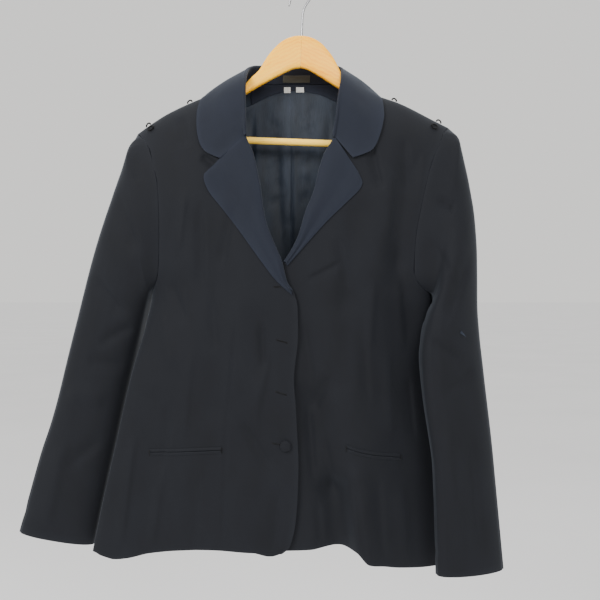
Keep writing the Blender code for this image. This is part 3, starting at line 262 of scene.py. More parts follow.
SLEEVE = {
    RIGHT: table(Ring,
        (-0.262, 0.002, -0.25, -0.23, -0.01, -0.479, 0.046, 0.046),
        (-0.2749, 0.005, -0.2861, -0.233, -0.004, -0.486, 0.05, 0.046),
        (-0.2932, 0.008, -0.3351, -0.237, 0.004, -0.498, 0.052, 0.044),
        (-0.3116, 0.01, -0.3901, -0.243, 0.012, -0.52, 0.052, 0.04),
        (-0.329, 0.012, -0.448, -0.252, 0.016, -0.556, 0.048, 0.036),
        (-0.3475, 0.014, -0.5178, -0.264, 0.018, -0.605, 0.044, 0.034),
        (-0.3666, 0.015, -0.5905, -0.277, 0.018, -0.66, 0.04, 0.032),
        (-0.388, 0.015, -0.6715, -0.292, 0.018, -0.725, 0.036, 0.03),
        (-0.4064, 0.015, -0.7281, -0.3025, 0.018, -0.77, 0.033, 0.028),
        (-0.4385, 0.015, -0.843, -0.3225, 0.018, -0.864, 0.028, 0.026),
    ),
    LEFT: table(Ring,
        (0.2323, 0.002, -0.2357, 0.1905, -0.022, -0.4815, 0.04, 0.046),
        (0.2425, 0.004, -0.27, 0.19, -0.026, -0.487, 0.042, 0.044),
        (0.2527, 0.004, -0.3182, 0.187, -0.032, -0.495, 0.044, 0.04),
        (0.26, 0.002, -0.37, 0.181, -0.04, -0.508, 0.044, 0.036),
        (0.2628, -0.001, -0.435, 0.173, -0.048, -0.535, 0.042, 0.03),
        (0.2625, -0.006, -0.5, 0.168, -0.054, -0.575, 0.04, 0.024),
        (0.268, -0.014, -0.575, 0.172, -0.06, -0.63, 0.036, 0.021),
        (0.2735, -0.022, -0.64, 0.1785, -0.064, -0.678, 0.033, 0.02),
        (0.279, -0.03, -0.705, 0.185, -0.068, -0.73, 0.031, 0.02),
        (0.285, -0.038, -0.785, 0.1865, -0.072, -0.8, 0.028, 0.02),
        (0.2925, -0.045, -0.879, 0.188, -0.075, -0.879, 0.026, 0.02),
    ),
}
LAPEL_EDGE = {
    RIGHT: table(Point,
        (-0.017, -0.4815), (-0.0398, -0.4605), (-0.0579, -0.4373), (-0.0956, -0.3851), (-0.1173, -0.357),
        (-0.1396, -0.3278), (-0.1463, -0.3112),
    ),
    LEFT: table(Point,
        (-0.024, -0.439), (0.0342, -0.3735), (0.06, -0.3485), (0.0827, -0.3242), (0.0857, -0.3149),
    ),
}
LAPEL_TOP = {RIGHT: Point(-0.1449, -0.3054), LEFT: Point(0.0784, -0.3025)}
ROLL_SPAN = {RIGHT: (-0.4740, -0.2490), LEFT: (-0.4330, -0.2520)}
COLLAR = table(Station,
    (-0.086, -0.059, -0.248, -0.1218, -0.062, -0.2822, -0.0846, -0.247, "front"),
    (-0.0866, -0.058, -0.234, -0.1407, -0.06, -0.2735, -0.0862, -0.235, "front"),
    (-0.0868, -0.054, -0.2165, -0.1509, -0.056, -0.261, -0.0885, -0.219, "front"),
    (-0.087, -0.047, -0.19, -0.1542, -0.046, -0.24, -0.0916, -0.199, "front"),
    (-0.0872, -0.036, -0.166, -0.1547, -0.033, -0.2154, -0.095, -0.18, "front"),
    (-0.0868, -0.018, -0.147, -0.153, -0.018, -0.19, -0.098, -0.168, "front"),
    (-0.0853, 0.004, -0.133, -0.1452, 0.003, -0.1715, -0.099, -0.159, "back"),
    (-0.076, 0.027, -0.121, -0.13, 0.032, -0.174, -0.085, -0.152, "back"),
    (-0.05, 0.043, -0.1165, -0.085, 0.055, -0.181, -0.052, -0.149, "back"),
    (-0.014, 0.047, -0.115, -0.014, 0.0575, -0.183, -0.016, -0.148, "back"),
    (0.024, 0.043, -0.1165, 0.05, 0.055, -0.181, 0.029, -0.149, "back"),
    (0.05, 0.027, -0.121, 0.097, 0.032, -0.174, 0.064, -0.152, "back"),
    (0.0575, 0.004, -0.133, 0.1093, 0.003, -0.17, 0.079, -0.159, "back"),
    (0.0565, -0.018, -0.148, 0.1135, -0.018, -0.196, 0.075, -0.169, "front"),
    (0.0535, -0.036, -0.168, 0.1145, -0.034, -0.219, 0.068, -0.181, "front"),
    (0.05, -0.048, -0.193, 0.111, -0.049, -0.242, 0.059, -0.201, "front"),
    (0.047, -0.0545, -0.221, 0.0985, -0.058, -0.269, 0.0505, -0.223, "front"),
    (0.043, -0.06, -0.249, 0.0711, -0.062, -0.281, 0.044, -0.248, "front"),
)
SLIT = {
    RIGHT: table(Point, (-0.227, -0.712), (-0.173, -0.7085), (-0.119, -0.705)),
    LEFT: table(Point,
        (0.061, -0.702), (0.082, -0.709), (0.102, -0.7135), (0.123, -0.717), (0.143, -0.72),
    ),
}
LOOPS = table(Loop,
    ("shoulder_loop_right_inner", -0.1739, 0.0055, 0.0022),
    ("shoulder_loop_right_outer", -0.237, 0.005, 0.0026),
    ("shoulder_loop_left_inner", 0.1381, 0.0055, 0.0022),
    ("shoulder_loop_left_outer", 0.206, 0.0055, 0.0026),
)
RINGS = {"shoulder_ring_right": Point(-0.2290, -0.2310), "shoulder_ring_left": Point(0.1950, -0.2290)}
TABS = {"neck_tab_right": (-0.0310, -0.0205, -0.1620, -0.1530),
        "neck_tab_left": (-0.0120, 0.0006, -0.1610, -0.1530)}
LINING_TOP = table(Point,
    (-0.15, -0.215), (-0.084, -0.182), (-0.052, -0.166), (-0.016, -0.158), (0.02, -0.163), (0.052, -0.176),
    (0.12, -0.21),
)
ARM = table(Arm,
    (0.00015, 0.0, -0.049), (0.01, -0.001, -0.051), (0.02, -0.0042, -0.0555), (0.03, -0.01, -0.061),
    (0.0406, -0.0205, -0.067), (0.049, -0.031, -0.072), (0.057, -0.0446, -0.0768),
    (0.0626, -0.055, -0.0802), (0.0763, -0.0692, -0.089), (0.083, -0.0775, -0.0935), (0.09, -0.084, -0.099),
    (0.11, -0.0925, -0.112), (0.1396, -0.1018, -0.128), (0.17, -0.1187, -0.148), (0.195, -0.133, -0.17),
    (0.21, -0.142, -0.1745), (0.2165, -0.148, -0.17),
)

# Creases that are finer than the main folds, placed from the photograph's lines
CREASES: dict[Side, list[Fold]] = {
    RIGHT: table(Fold,
        (-0.0975, -0.512, -0.111, -0.672, 0.0024, 0.0011), (-0.111, -0.672, -0.119, -0.848, 0.0024, 0.0009),
        (-0.061, -0.52, -0.056, -0.59, 0.005, 0.0022), (-0.086, -0.668, -0.048, -0.728, 0.007, 0.0018),
        (-0.15, -0.35, -0.148, -0.47, 0.008, 0.002), (-0.172, -0.33, -0.183, -0.42, 0.009, -0.0018),
        (-0.195, -0.46, -0.17, -0.52, 0.007, 0.0016), (-0.212, -0.5, -0.188, -0.59, 0.008, -0.0014),
        (-0.163, -0.56, -0.175, -0.69, 0.009, -0.0013), (-0.206, -0.735, -0.224, -0.85, 0.009, -0.002),
        (-0.156, -0.73, -0.158, -0.85, 0.008, 0.0014), (-0.066, -0.6, -0.07, -0.69, 0.008, -0.0012),
        (-0.036, -0.76, -0.042, -0.85, 0.007, 0.0015), (-0.183, -0.215, -0.17, -0.262, 0.008, 0.0014),
        (-0.242, -0.256, -0.23, -0.3, 0.006, 0.0013), (-0.148, -0.277, -0.128, -0.292, 0.006, 0.003),
        (-0.101, -0.352, -0.119, -0.44, 0.007, 0.0018), (-0.133, -0.48, -0.126, -0.56, 0.006, 0.0014),
        (-0.05, -0.56, -0.064, -0.64, 0.006, -0.0012), (-0.195, -0.64, -0.208, -0.735, 0.008, 0.0015),
        (-0.25, -0.69, -0.27, -0.85, 0.008, -0.0016),
    ),
    LEFT: table(Fold,
        (0.006, -0.458, 0.052, -0.434, 0.0045, 0.0018), (0.036, -0.6, 0.014, -0.65, 0.007, 0.0022),
        (0.007, -0.64, 0.016, -0.752, 0.006, 0.003), (0.066, -0.745, 0.08, -0.86, 0.0075, -0.003),
        (0.124, -0.56, 0.13, -0.69, 0.009, -0.0016), (0.155, -0.6, 0.164, -0.7, 0.008, 0.0018),
        (0.102, -0.46, 0.096, -0.56, 0.0085, -0.0018), (0.085, -0.52, 0.093, -0.64, 0.008, 0.0014),
        (0.108, -0.745, 0.115, -0.87, 0.009, 0.002), (0.145, -0.76, 0.153, -0.88, 0.009, -0.0018),
        (0.148, -0.25, 0.152, -0.33, 0.009, 0.0022), (0.129, -0.3, 0.121, -0.4, 0.008, -0.0016),
        (0.17, -0.27, 0.162, -0.34, 0.007, 0.0014), (0.031, -0.69, 0.046, -0.77, 0.006, 0.002),
        (0.099, -0.262, 0.112, -0.326, 0.007, 0.003), (0.048, -0.4, 0.066, -0.47, 0.007, 0.0016),
        (0.0, -0.52, 0.014, -0.61, 0.007, 0.0016), (0.138, -0.455, 0.148, -0.56, 0.007, -0.0015),
        (0.19, -0.64, 0.2, -0.76, 0.008, 0.0014), (0.02, -0.78, 0.025, -0.85, 0.006, 0.0018),
    ),
}
BACK_CREASES = table(Fold,
    (-0.016, -0.15, -0.017, -0.866, 0.0022, 0.001), (-0.115, -0.24, -0.132, -0.86, 0.0024, 0.0008),
    (0.083, -0.24, 0.096, -0.86, 0.0024, 0.0008), (-0.19, -0.47, -0.135, -0.52, 0.008, 0.0018),
    (0.16, -0.48, 0.105, -0.54, 0.008, 0.0018), (-0.05, -0.19, 0.018, -0.196, 0.008, 0.0014),
    (-0.165, -0.6, -0.19, -0.85, 0.011, -0.002), (0.055, -0.6, 0.06, -0.86, 0.011, -0.0022),
    (-0.04, -0.64, -0.046, -0.86, 0.01, 0.0018),
)
SLEEVE_CREASES: dict[Side, list[Fold]] = {
    RIGHT: table(Fold,
        (-0.249, -0.275, -0.244, -0.31, 0.007, 0.0024), (-0.276, -0.33, -0.242, -0.42, 0.011, 0.0026),
        (-0.31, -0.45, -0.266, -0.51, 0.01, 0.0028), (-0.256, -0.53, -0.305, -0.555, 0.008, 0.0024),
        (-0.268, -0.59, -0.325, -0.58, 0.008, 0.0022), (-0.3, -0.64, -0.356, -0.63, 0.011, -0.0022),
        (-0.305, -0.7, -0.354, -0.74, 0.01, 0.002), (-0.36, -0.7, -0.388, -0.83, 0.012, -0.0022),
    ),
    LEFT: table(Fold,
        (0.196, -0.34, 0.222, -0.352, 0.006, 0.003), (0.186, -0.4, 0.218, -0.47, 0.01, 0.0026),
        (0.242, -0.43, 0.202, -0.52, 0.01, 0.0022), (0.178, -0.545, 0.228, -0.575, 0.008, 0.0024),
        (0.248, -0.59, 0.198, -0.625, 0.009, 0.0024), (0.206, -0.66, 0.216, -0.79, 0.012, -0.0022),
        (0.236, -0.69, 0.25, -0.85, 0.011, 0.0022),
    ),
}
LINING_CREASES = table(Fold,
    (-0.017, -0.162, -0.0175, -0.83, 0.0014, 0.003), (-0.08, -0.196, -0.085, -0.42, 0.006, 0.004),
    (0.042, -0.195, 0.033, -0.36, 0.006, 0.0012), (-0.042, -0.21, -0.035, -0.4, 0.008, 0.002),
    (-0.056, -0.205, -0.03, -0.222, 0.0034, 0.0014), (-0.06, -0.232, -0.026, -0.241, 0.004, 0.0015),
    (-0.054, -0.262, -0.023, -0.252, 0.0034, -0.0012), (-0.064, -0.287, -0.028, -0.271, 0.0044, 0.0016),
    (-0.047, -0.3, -0.021, -0.314, 0.0036, 0.0013), (-0.057, -0.338, -0.024, -0.322, 0.0046, 0.0016),
    (-0.008, -0.198, 0.017, -0.187, 0.0034, 0.0013), (-0.01, -0.226, 0.026, -0.212, 0.004, 0.0016),
    (-0.006, -0.239, 0.023, -0.252, 0.0036, -0.0012), (-0.01, -0.279, 0.02, -0.262, 0.0042, 0.0015),
    (-0.007, -0.294, 0.013, -0.305, 0.0036, 0.0013), (-0.008, -0.334, 0.009, -0.321, 0.004, 0.0014),
    (-0.038, -0.372, -0.014, -0.36, 0.0046, 0.0015),
)


class Track:
    """A table's rows as smooth lines, each column read against one key column."""

    def __init__(self, rows: Sequence[tuple], key: str) -> None:
        """Sort the rows and work out each column's slopes.

        Args:
            rows: Named rows of one table.
            key: The column that the others are read against.
        """
        ordered = sorted(rows, key=lambda row: getattr(row, key))
        self.keys = [float(getattr(row, key)) for row in ordered]
        names = [name for name in ordered[0]._fields if name != "where"]
        self.columns = {name: [float(getattr(row, name)) for row in ordered] for name in names}
        self.slopes = {name: self._slopes(values) for name, values in self.columns.items()}

    def _slopes(self, values: list[float]) -> list[float]:
        """Slope at each row: none at a turn, else the harmonic mean of the slopes beside it.

        Args:
            values: One column, in the rows' order.

        Returns:
            A slope for each row.
        """
        steps = [(b - a) / (q - p) for a, b, p, q in zip(values, values[1:], self.keys, self.keys[1:])]
        slopes = [steps[0]]
        for before, after in zip(steps, steps[1:]):
            slopes.append(0.0 if before * after <= 0 else 2 * before * after / (before + after))
        return slopes + [steps[-1]]

    def at(self, column: str, value: float) -> float:
        """Read a column.

        Args:
            column: The column's name.
            value: A place along the key column.

        Returns:
            A cubic through the rows that keeps their shape; outside them the end value.
        """
        values, slopes, keys = self.columns[column], self.slopes[column], self.keys
        if value <= keys[0]:
            return values[0]
        if value >= keys[-1]:
            return values[-1]
        i = bisect_right(keys, value) - 1
        width = keys[i + 1] - keys[i]
        t = (value - keys[i]) / width
        rise = t * t * (3 - 2 * t)
        bend = t * (1 - t) * (1 - t) * slopes[i] - t * t * (1 - t) * slopes[i + 1]
        return values[i] + rise * (values[i + 1] - values[i]) + width * bend


class Spline:
    """Points read smoothly between their keys."""

    def __init__(self, keys: Sequence[float], points: Sequence[Vector]) -> None:
        """Keep one track for the three coordinates, with the points' keys."""
        self.track = Track([_Knot(k, *p) for k, p in zip(keys, points)], "key")

    def at(self, value: float) -> Vector:
        """The point at a key."""
        return Vector((self.track.at("x", value), self.track.at("y", value), self.track.at("z", value)))


class _Knot(NamedTuple):
    """A point with its key."""

    key: float
    x: float
    y: float
    z: float


def ramp(low: float, high: float, value: float) -> float:
    """A soft step from 0 at low to 1 at high."""
    t = min(1.0, max(0.0, (value - low) / (high - low)))
    return t * t * (3 - 2 * t)


def mix(a: float, b: float, share: float) -> float:
    """The value a share of the way from a to b."""
    return a + (b - a) * share


def fold_depth(folds: Sequence[Fold], x: float, z: float) -> float:
    """Sum of the main folds' depths at a place, as the solids have them.

    Args:
        folds: The folds to add up.
        x: Place across.
        z: Height.

    Returns:
        The depth, below 0 on a ridge.
    """
    total = 0.0
    for fold in folds:
        run_x, run_z = fold.x1 - fold.x0, fold.z1 - fold.z0
        along = ((x - fold.x0) * run_x + (z - fold.z0) * run_z) / (run_x ** 2 + run_z ** 2)
        along = min(1.0, max(0.0, along))
        away = math.hypot(x - fold.x0 - along * run_x, z - fold.z0 - along * run_z)
        total += fold.depth * math.exp(-(away / fold.width) ** 2)
    return total


CREASE_PAST = 0.1
CREASE_SOFT = 0.25
CREASE_REACH = 3


def crease_depth(creases: Sequence[Fold], x: float, z: float, skew: float = 0.35) -> float:
    """Sum of the fine creases' depths at a place.

    Args:
        creases: The creases to add up.
        x: Place across.
        z: Height.
        skew: How much steeper a crease is on one side than on the other.

    Returns:
        The depth, with each crease fading out softly towards its ends.
    """
    total = 0.0
    for crease in creases:
        run_x, run_z = crease.x1 - crease.x0, crease.z1 - crease.z0
        length = math.hypot(run_x, run_z)
        along = ((x - crease.x0) * run_x + (z - crease.z0) * run_z) / length ** 2
        if not -CREASE_PAST < along < 1 + CREASE_PAST:
            continue
        away = ((x - crease.x0) * run_z - (z - crease.z0) * run_x) / length
        width = crease.width * (1 + skew if away > 0 else 1 - skew)
        if abs(away) > CREASE_REACH * width:
            continue
        fade = ramp(-CREASE_PAST, CREASE_SOFT, along) * (1 - ramp(1 - CREASE_SOFT, 1 + CREASE_PAST, along))
        total += crease.depth * fade * math.exp(-(away / width) ** 2)
    return total


@dataclass
class Form:
    """The hanging jacket's outer form: a lens in each level section, with its largest folds."""

    centre: float = -0.016
    tip_round: float = 6.0
    side_from: float = 0.30
    side_to: float = 0.92
    front_drop: float = 0.085
    back_drop: float = 0.055
    under_lap: float = 0.0065
    lap_fade: float = 0.05
    fold_fade: float = 0.03
    ripple: float = 0.0013
    crease_gain: float = 1.7
    seam_fade: float = 0.03
    lap_top: float = -0.36
    lap_full: float = -0.42
    back_seed: float = 5.0
    ripple_scale: tuple[float, float] = (17.0, 8.0)
    underarm: dict[Side, float] = field(default_factory=lambda: {RIGHT: -0.475, LEFT: -0.478})

    def __post_init__(self) -> None:
        """Read the tables as smooth lines."""
        self.body = Track(BODY, "z")
        self.shoulder = Track(SHOULDER, "x")
        self.back_top = Track(BACK_TOP, "x")
        self.back_neck = Track(BACK_NECK, "x")
        self.edge = {side: Track(rows, "z") for side, rows in EDGE.items()}
        self.hem = {side: Track(rows, "x") for side, rows in HEM.items()}
        self.armhole = {}
        for side in Side:
            foot = Point(self.tip(side, self.underarm[side]), self.underarm[side])
            self.armhole[side] = Track([foot] + ARMHOLE[side], "z")

    def side_of(self, x: float) -> Side:
        """The wearer's side that an x is on."""
        return RIGHT if x < self.centre else LEFT

    def tip(self, side: Side, z: float) -> float:
        """X of the body's side at a level."""
        return self.body.at("left" if side is RIGHT else "right", z)

    def boundary_x(self, side: Side, z: float) -> float:
        """X of a panel's outer border: the side seam, then the armhole."""
        return self.tip(side, z) if z < self.underarm[side] else self.armhole[side].at("x", z)

    def body_y(self, x: float, z: float, front: bool) -> float:
        """Y of the form's front or back at a place, without folds.

        Args:
            x: Place across.
            z: Height.
            front: Whether the front is meant.

        Returns:
            Y there.
        """
        side = self.side_of(x)
        edge_x = self.tip(side, z)
        share = min(1.0, abs((x - self.centre) / (edge_x - self.centre)))
        at_side = ramp(self.side_from, self.side_to, share)
        tip_y = self.body.at("left_y" if side is RIGHT else "right_y", z)
        if front:
            middle = self.body.at("front", z)
            edge = self.body.at("left_front" if side is RIGHT else "right_front", z)
            below = (self.shoulder.at("z", x) - z) / self.front_drop
        else:
            middle = self.body.at("back", z)
            edge = self.body.at("side_back", z)
            below = (self.back_top.at("z", x) - z) / self.back_drop
        depth = mix(middle, edge, at_side)
        y = tip_y + (depth - tip_y) * math.sqrt(max(0.0, 1 - share ** self.tip_round))
        below = min(1.0, max(0.0, below))
        return y * math.sqrt(1 - (1 - below) ** 2)

    def inside_share(self, side: Side, x: float, z: float) -> float:
        """1 over a panel, fading to 0 at its side, so that folds never open a seam."""
        return ramp(0.0, self.fold_fade, abs(self.boundary_x(side, z) - x))

    def waver(self, x: float, z: float, seed: float) -> float:
        """The cloth's slight unevenness between its creases."""
        across, down = self.ripple_scale
        return self.ripple * noise.noise(Vector((x * across, seed, z * down)))

    def front_y(self, side: Side, x: float, z: float) -> float:
        """Y of a front's outer face.

        Args:
            side: Which front.
            x: Place across.
            z: Height.

        Returns:
            Y there, with folds and creases.
        """
        inside = self.inside_share(side, x, z)
        y = self.body_y(x, z, True) + fold_depth(FOLDS[side], x, z) * inside
        creased = crease_depth(CREASES[side], x, z) * self.crease_gain
        inside *= ramp(0.0, self.seam_fade, self.shoulder.at("z", x) - z)
        y += (creased + self.waver(x, z, float(side))) * inside
        if side is LEFT:
            y += self.under_lap * (1 - ramp(0.0, self.lap_fade, x)) * ramp(self.lap_top, self.lap_full, z)
        return y

    def back_y(self, x: float, z: float) -> float:
        """Y of the back's outer face.

        Args:
            x: Place across.
            z: Height.

        Returns:
            Y there, with folds and creases.
        """
        inside = self.inside_share(self.side_of(x), x, z)
        depth = fold_depth(BACK_FOLDS, x, z) + crease_depth(BACK_CREASES, x, z) * self.crease_gain
        depth += self.waver(x, z, self.back_seed)
        inside *= ramp(0.0, self.seam_fade, self.top_z(x) - z)
        return self.body_y(x, z, False) - depth * inside

    def top_z(self, x: float) -> float:
        """Height of the back's upper border.

        Args:
            x: Place across.

        Returns:
            The neck's height between the fronts, else the shoulder's.
        """
        if EDGE[RIGHT][-1].x < x < EDGE[LEFT][-1].x:
            return self.back_neck.at("z", x)
        return self.shoulder.at("z", x)


FORM = Form()


def refine(rows: Rows, down: int, across: int) -> Rows:
    """Read a coarse grid finer, smoothly both ways.

    Args:
        rows: The coarse grid.
        down: New steps for each step between rows.
        across: New steps for each step along a row.

    Returns:
        The finer grid, through all the coarse points.
    """
    wide = []
    for row in rows:
        line = Spline(range(len(row)), row)
        wide.append([line.at(i / across) for i in range((len(row) - 1) * across + 1)])
    columns = []
    for c in range(len(wide[0])):
        line = Spline(range(len(wide)), [row[c] for row in wide])
        columns.append([line.at(i / down) for i in range((len(wide) - 1) * down + 1)])
    return [list(points) for points in zip(*columns)]


def quads(rows: int, across: int, closed: bool = False, start: int = 0) -> Faces:
    """Faces between the rows of a grid of points.

    Args:
        rows: How many rows it has.
        across: How many points a row has.
        closed: Whether a row's end joins its start.
        start: The number of the grid's first point.

    Returns:
        The faces, row by row.
    """
    faces = []
    for r in range(rows - 1):
        for c in range(across if closed else across - 1):
            a, b = start + r * across + c, start + r * across + (c + 1) % across
            faces.append((a, b, b + across, a + across))
    return faces


def surface(rows: Rows) -> BVHTree:
    """A grid as a surface that rays can meet."""
    return BVHTree.FromPolygons([point for row in rows for point in row], quads(len(rows), len(rows[0])))


BUNCHED_LOW = 0.25
BUNCHED_RISE = 0.5


def spread(bunched: float, share: float, up: float) -> float:
    """A column's place in a row: bunched towards the borders low down, more even higher up."""
    return mix(bunched, share, BUNCHED_LOW + BUNCHED_RISE * up)


def on_surface(tree: BVHTree, x: float, z: float, lift: float, from_front: bool = True) -> Vector:
    """The point of a surface at x and z.

    Args:
        tree: The surface.
        x: Place across.
        z: Height.
        lift: How far in front of the surface, or behind it from the back.
        from_front: Whether to look from the front.

    Returns:
        The point, moved out by the lift.
    """
    start, way = (-1.0, 1.0) if from_front else (1.0, -1.0)
    hit = tree.ray_cast(Vector((x, start, z)), Vector((0, way, 0)))[0]
    if hit is None:
        hit = tree.find_nearest(Vector((x, -0.05 * way, z)))[0]
    return Vector((x, hit.y - way * lift, z))


def normal_at(tree: BVHTree, place: Vector) -> Vector:
    """The outward direction of a surface near a place, towards the front.

    Args:
        tree: The surface.
        place: A place on it.

    Returns:
        A direction of length 1.
    """
    step = 0.003
    across = on_surface(tree, place.x + step, place.z, 0.0) - on_surface(tree, place.x - step, place.z, 0.0)
    up = on_surface(tree, place.x, place.z + step, 0.0) - on_surface(tree, place.x, place.z - step, 0.0)
    return across.cross(up).normalized()


def smooth_object(name: str, points: Sequence[Vector], faces: Sequence[tuple[int, ...]],
                  *materials: Material) -> bpy.types.Object:
    """A smooth-shaded mesh object in the scene, with its materials.

    Args:
        name: Its name.
        points: Its points.
        faces: Point numbers of each face.
        materials: Its finishes.

    Returns:
        The object.
    """
    mesh = bpy.data.meshes.new(name)
    mesh.from_pydata(points, [], faces)
    for material in materials:
        mesh.materials.append(material)
    mesh.shade_smooth()
    obj = bpy.data.objects.new(name, mesh)
    bpy.context.scene.collection.objects.link(obj)
    return obj


@dataclass
class Shell:
    """A cloth wall under a grid of outer points, its edges turned softly, with a painted sheen value along
    its borders.
    """

    name: str
    rows: Rows
    wall: float
    outer: Material
    inner: Material
    inward: Three
    edge_radius: float = 0.0006
    pressed_width: float = 0.005

    def build(self) -> bpy.types.Object:
        """Make the wall's mesh, with how much painted sheen each point gets along the pressed borders, and
        its thickness.

        Returns:
            The piece.
        """
        points = [point for row in self.rows for point in row]
        obj = smooth_object(self.name, points, self._faces(points), self.outer, self.inner)
        # Painted sheen: the 'pressed' value lightens the wool along the borders, where pressed edges catch
        # the light.
        pressed = obj.data.attributes.new("pressed", "FLOAT", "POINT")
        pressed.data.foreach_set("value", self._pressed())
        solid = obj.modifiers.new("wall", "SOLIDIFY")
        solid.thickness = self.wall
        solid.offset = -1.0
        solid.use_even_offset = True
        solid.use_quality_normals = True
        solid.material_offset = 1
        turn = obj.modifiers.new("turned_edge", "BEVEL")
        turn.width = self.edge_radius
        turn.segments = 2
        turn.limit_method = "ANGLE"
        turn.angle_limit = math.radians(60)
        return obj

    def _faces(self, points: list[Vector]) -> Faces:
        """Quads of the grid, turned so that they face away from the inward point.

        Args:
            points: The grid's points, row by row.

        Returns:
            The faces.
        """
        faces = quads(len(self.rows), len(self.rows[0]))
        facing = 0.0
        for a, b, _, d in faces:
            normal = (points[b] - points[a]).cross(points[d] - points[a])
            facing += normal.dot(points[a] - Vector(self.inward))
        if facing < 0:
            faces = [face[::-1] for face in faces]
        return faces

    def _pressed(self) -> list[float]:
        """Painted sheen of the pressed borders: 1 at the borders, fading out over the sheen width.

        Returns:
            A value for each point.
        """
        first, last = self.rows[0], self.rows[-1]
        values = []
        for row in self.rows:
            for c, point in enumerate(row):
                nearest = min((point - row[0]).length, (point - row[-1]).length,
                              (point - first[c]).length, (point - last[c]).length)
                values.append(math.exp(-nearest / self.pressed_width))
        return values


class Strands:
    """Many small tubes that are joined into one mesh, such as stitches and cord."""

    stitch_rise: float = 1.4
    stitch_bend: float = 0.6

    def __init__(self) -> None:
        """Start with no tube."""
        self.points: list[Vector] = []
        self.faces: Faces = []

    def tube(self, line: Sequence[Vector], radii: Sequence[float], sides: int = 6) -> None:
        """Add one closed tube.

        Args:
            line: Its centre points.
            radii: Its radius at each point.
            sides: How many sides it has.
        """
        start = len(self.points)
        way = (line[1] - line[0]).normalized()
        across = way.orthogonal().normalized()
        for i, centre in enumerate(line):
            ahead, behind = line[min(i + 1, len(line) - 1)], line[max(i - 1, 0)]
            way = (ahead - behind).normalized()
            across = (across - way * across.dot(way)).normalized()
            beside = way.cross(across)
            for s in range(sides):
                turn = math.tau * s / sides
                self.points.append(centre + (across * math.cos(turn) + beside * math.sin(turn)) * radii[i])
        self.faces += quads(len(line), sides, True, start)
        last = start + (len(line) - 1) * sides
        self.faces.append(tuple(start + s for s in reversed(range(sides))))
        self.faces.append(tuple(last + s for s in range(sides)))

    def stitch(self, a: Vector, b: Vector, out: Vector, radius: float) -> None:
        """Add one short stitch that rises between its two ends.

        Args:
            a: One end.
            b: The other end.
            out: The way it rises.
            radius: The thread's radius.
        """
        middle = (a + b) / 2 + out * radius * self.stitch_rise
        rise, end = out * radius * 0.5, radius * 0.5
        near, far = a.lerp(middle, self.stitch_bend) + rise, b.lerp(middle, self.stitch_bend) + rise
        self.tube([a, near, middle, far, b], [end, radius, radius, radius, end], 5)

    def build(self, name: str, material: Material) -> bpy.types.Object:
        """Join all the tubes into one object."""
        return smooth_object(name, self.points, self.faces, material)


def enter(obj: bpy.types.Object, nodes: Sequence[str] = ()) -> None:
    """Give a piece its place in the part.

    Args:
        obj: The piece.
        nodes: The solids that it stands for.
    """
    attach(obj, BODY_NAME)
    if nodes:
        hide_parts(*nodes)
    LOG.info("%s: %d points", obj.name, len(obj.data.vertices))


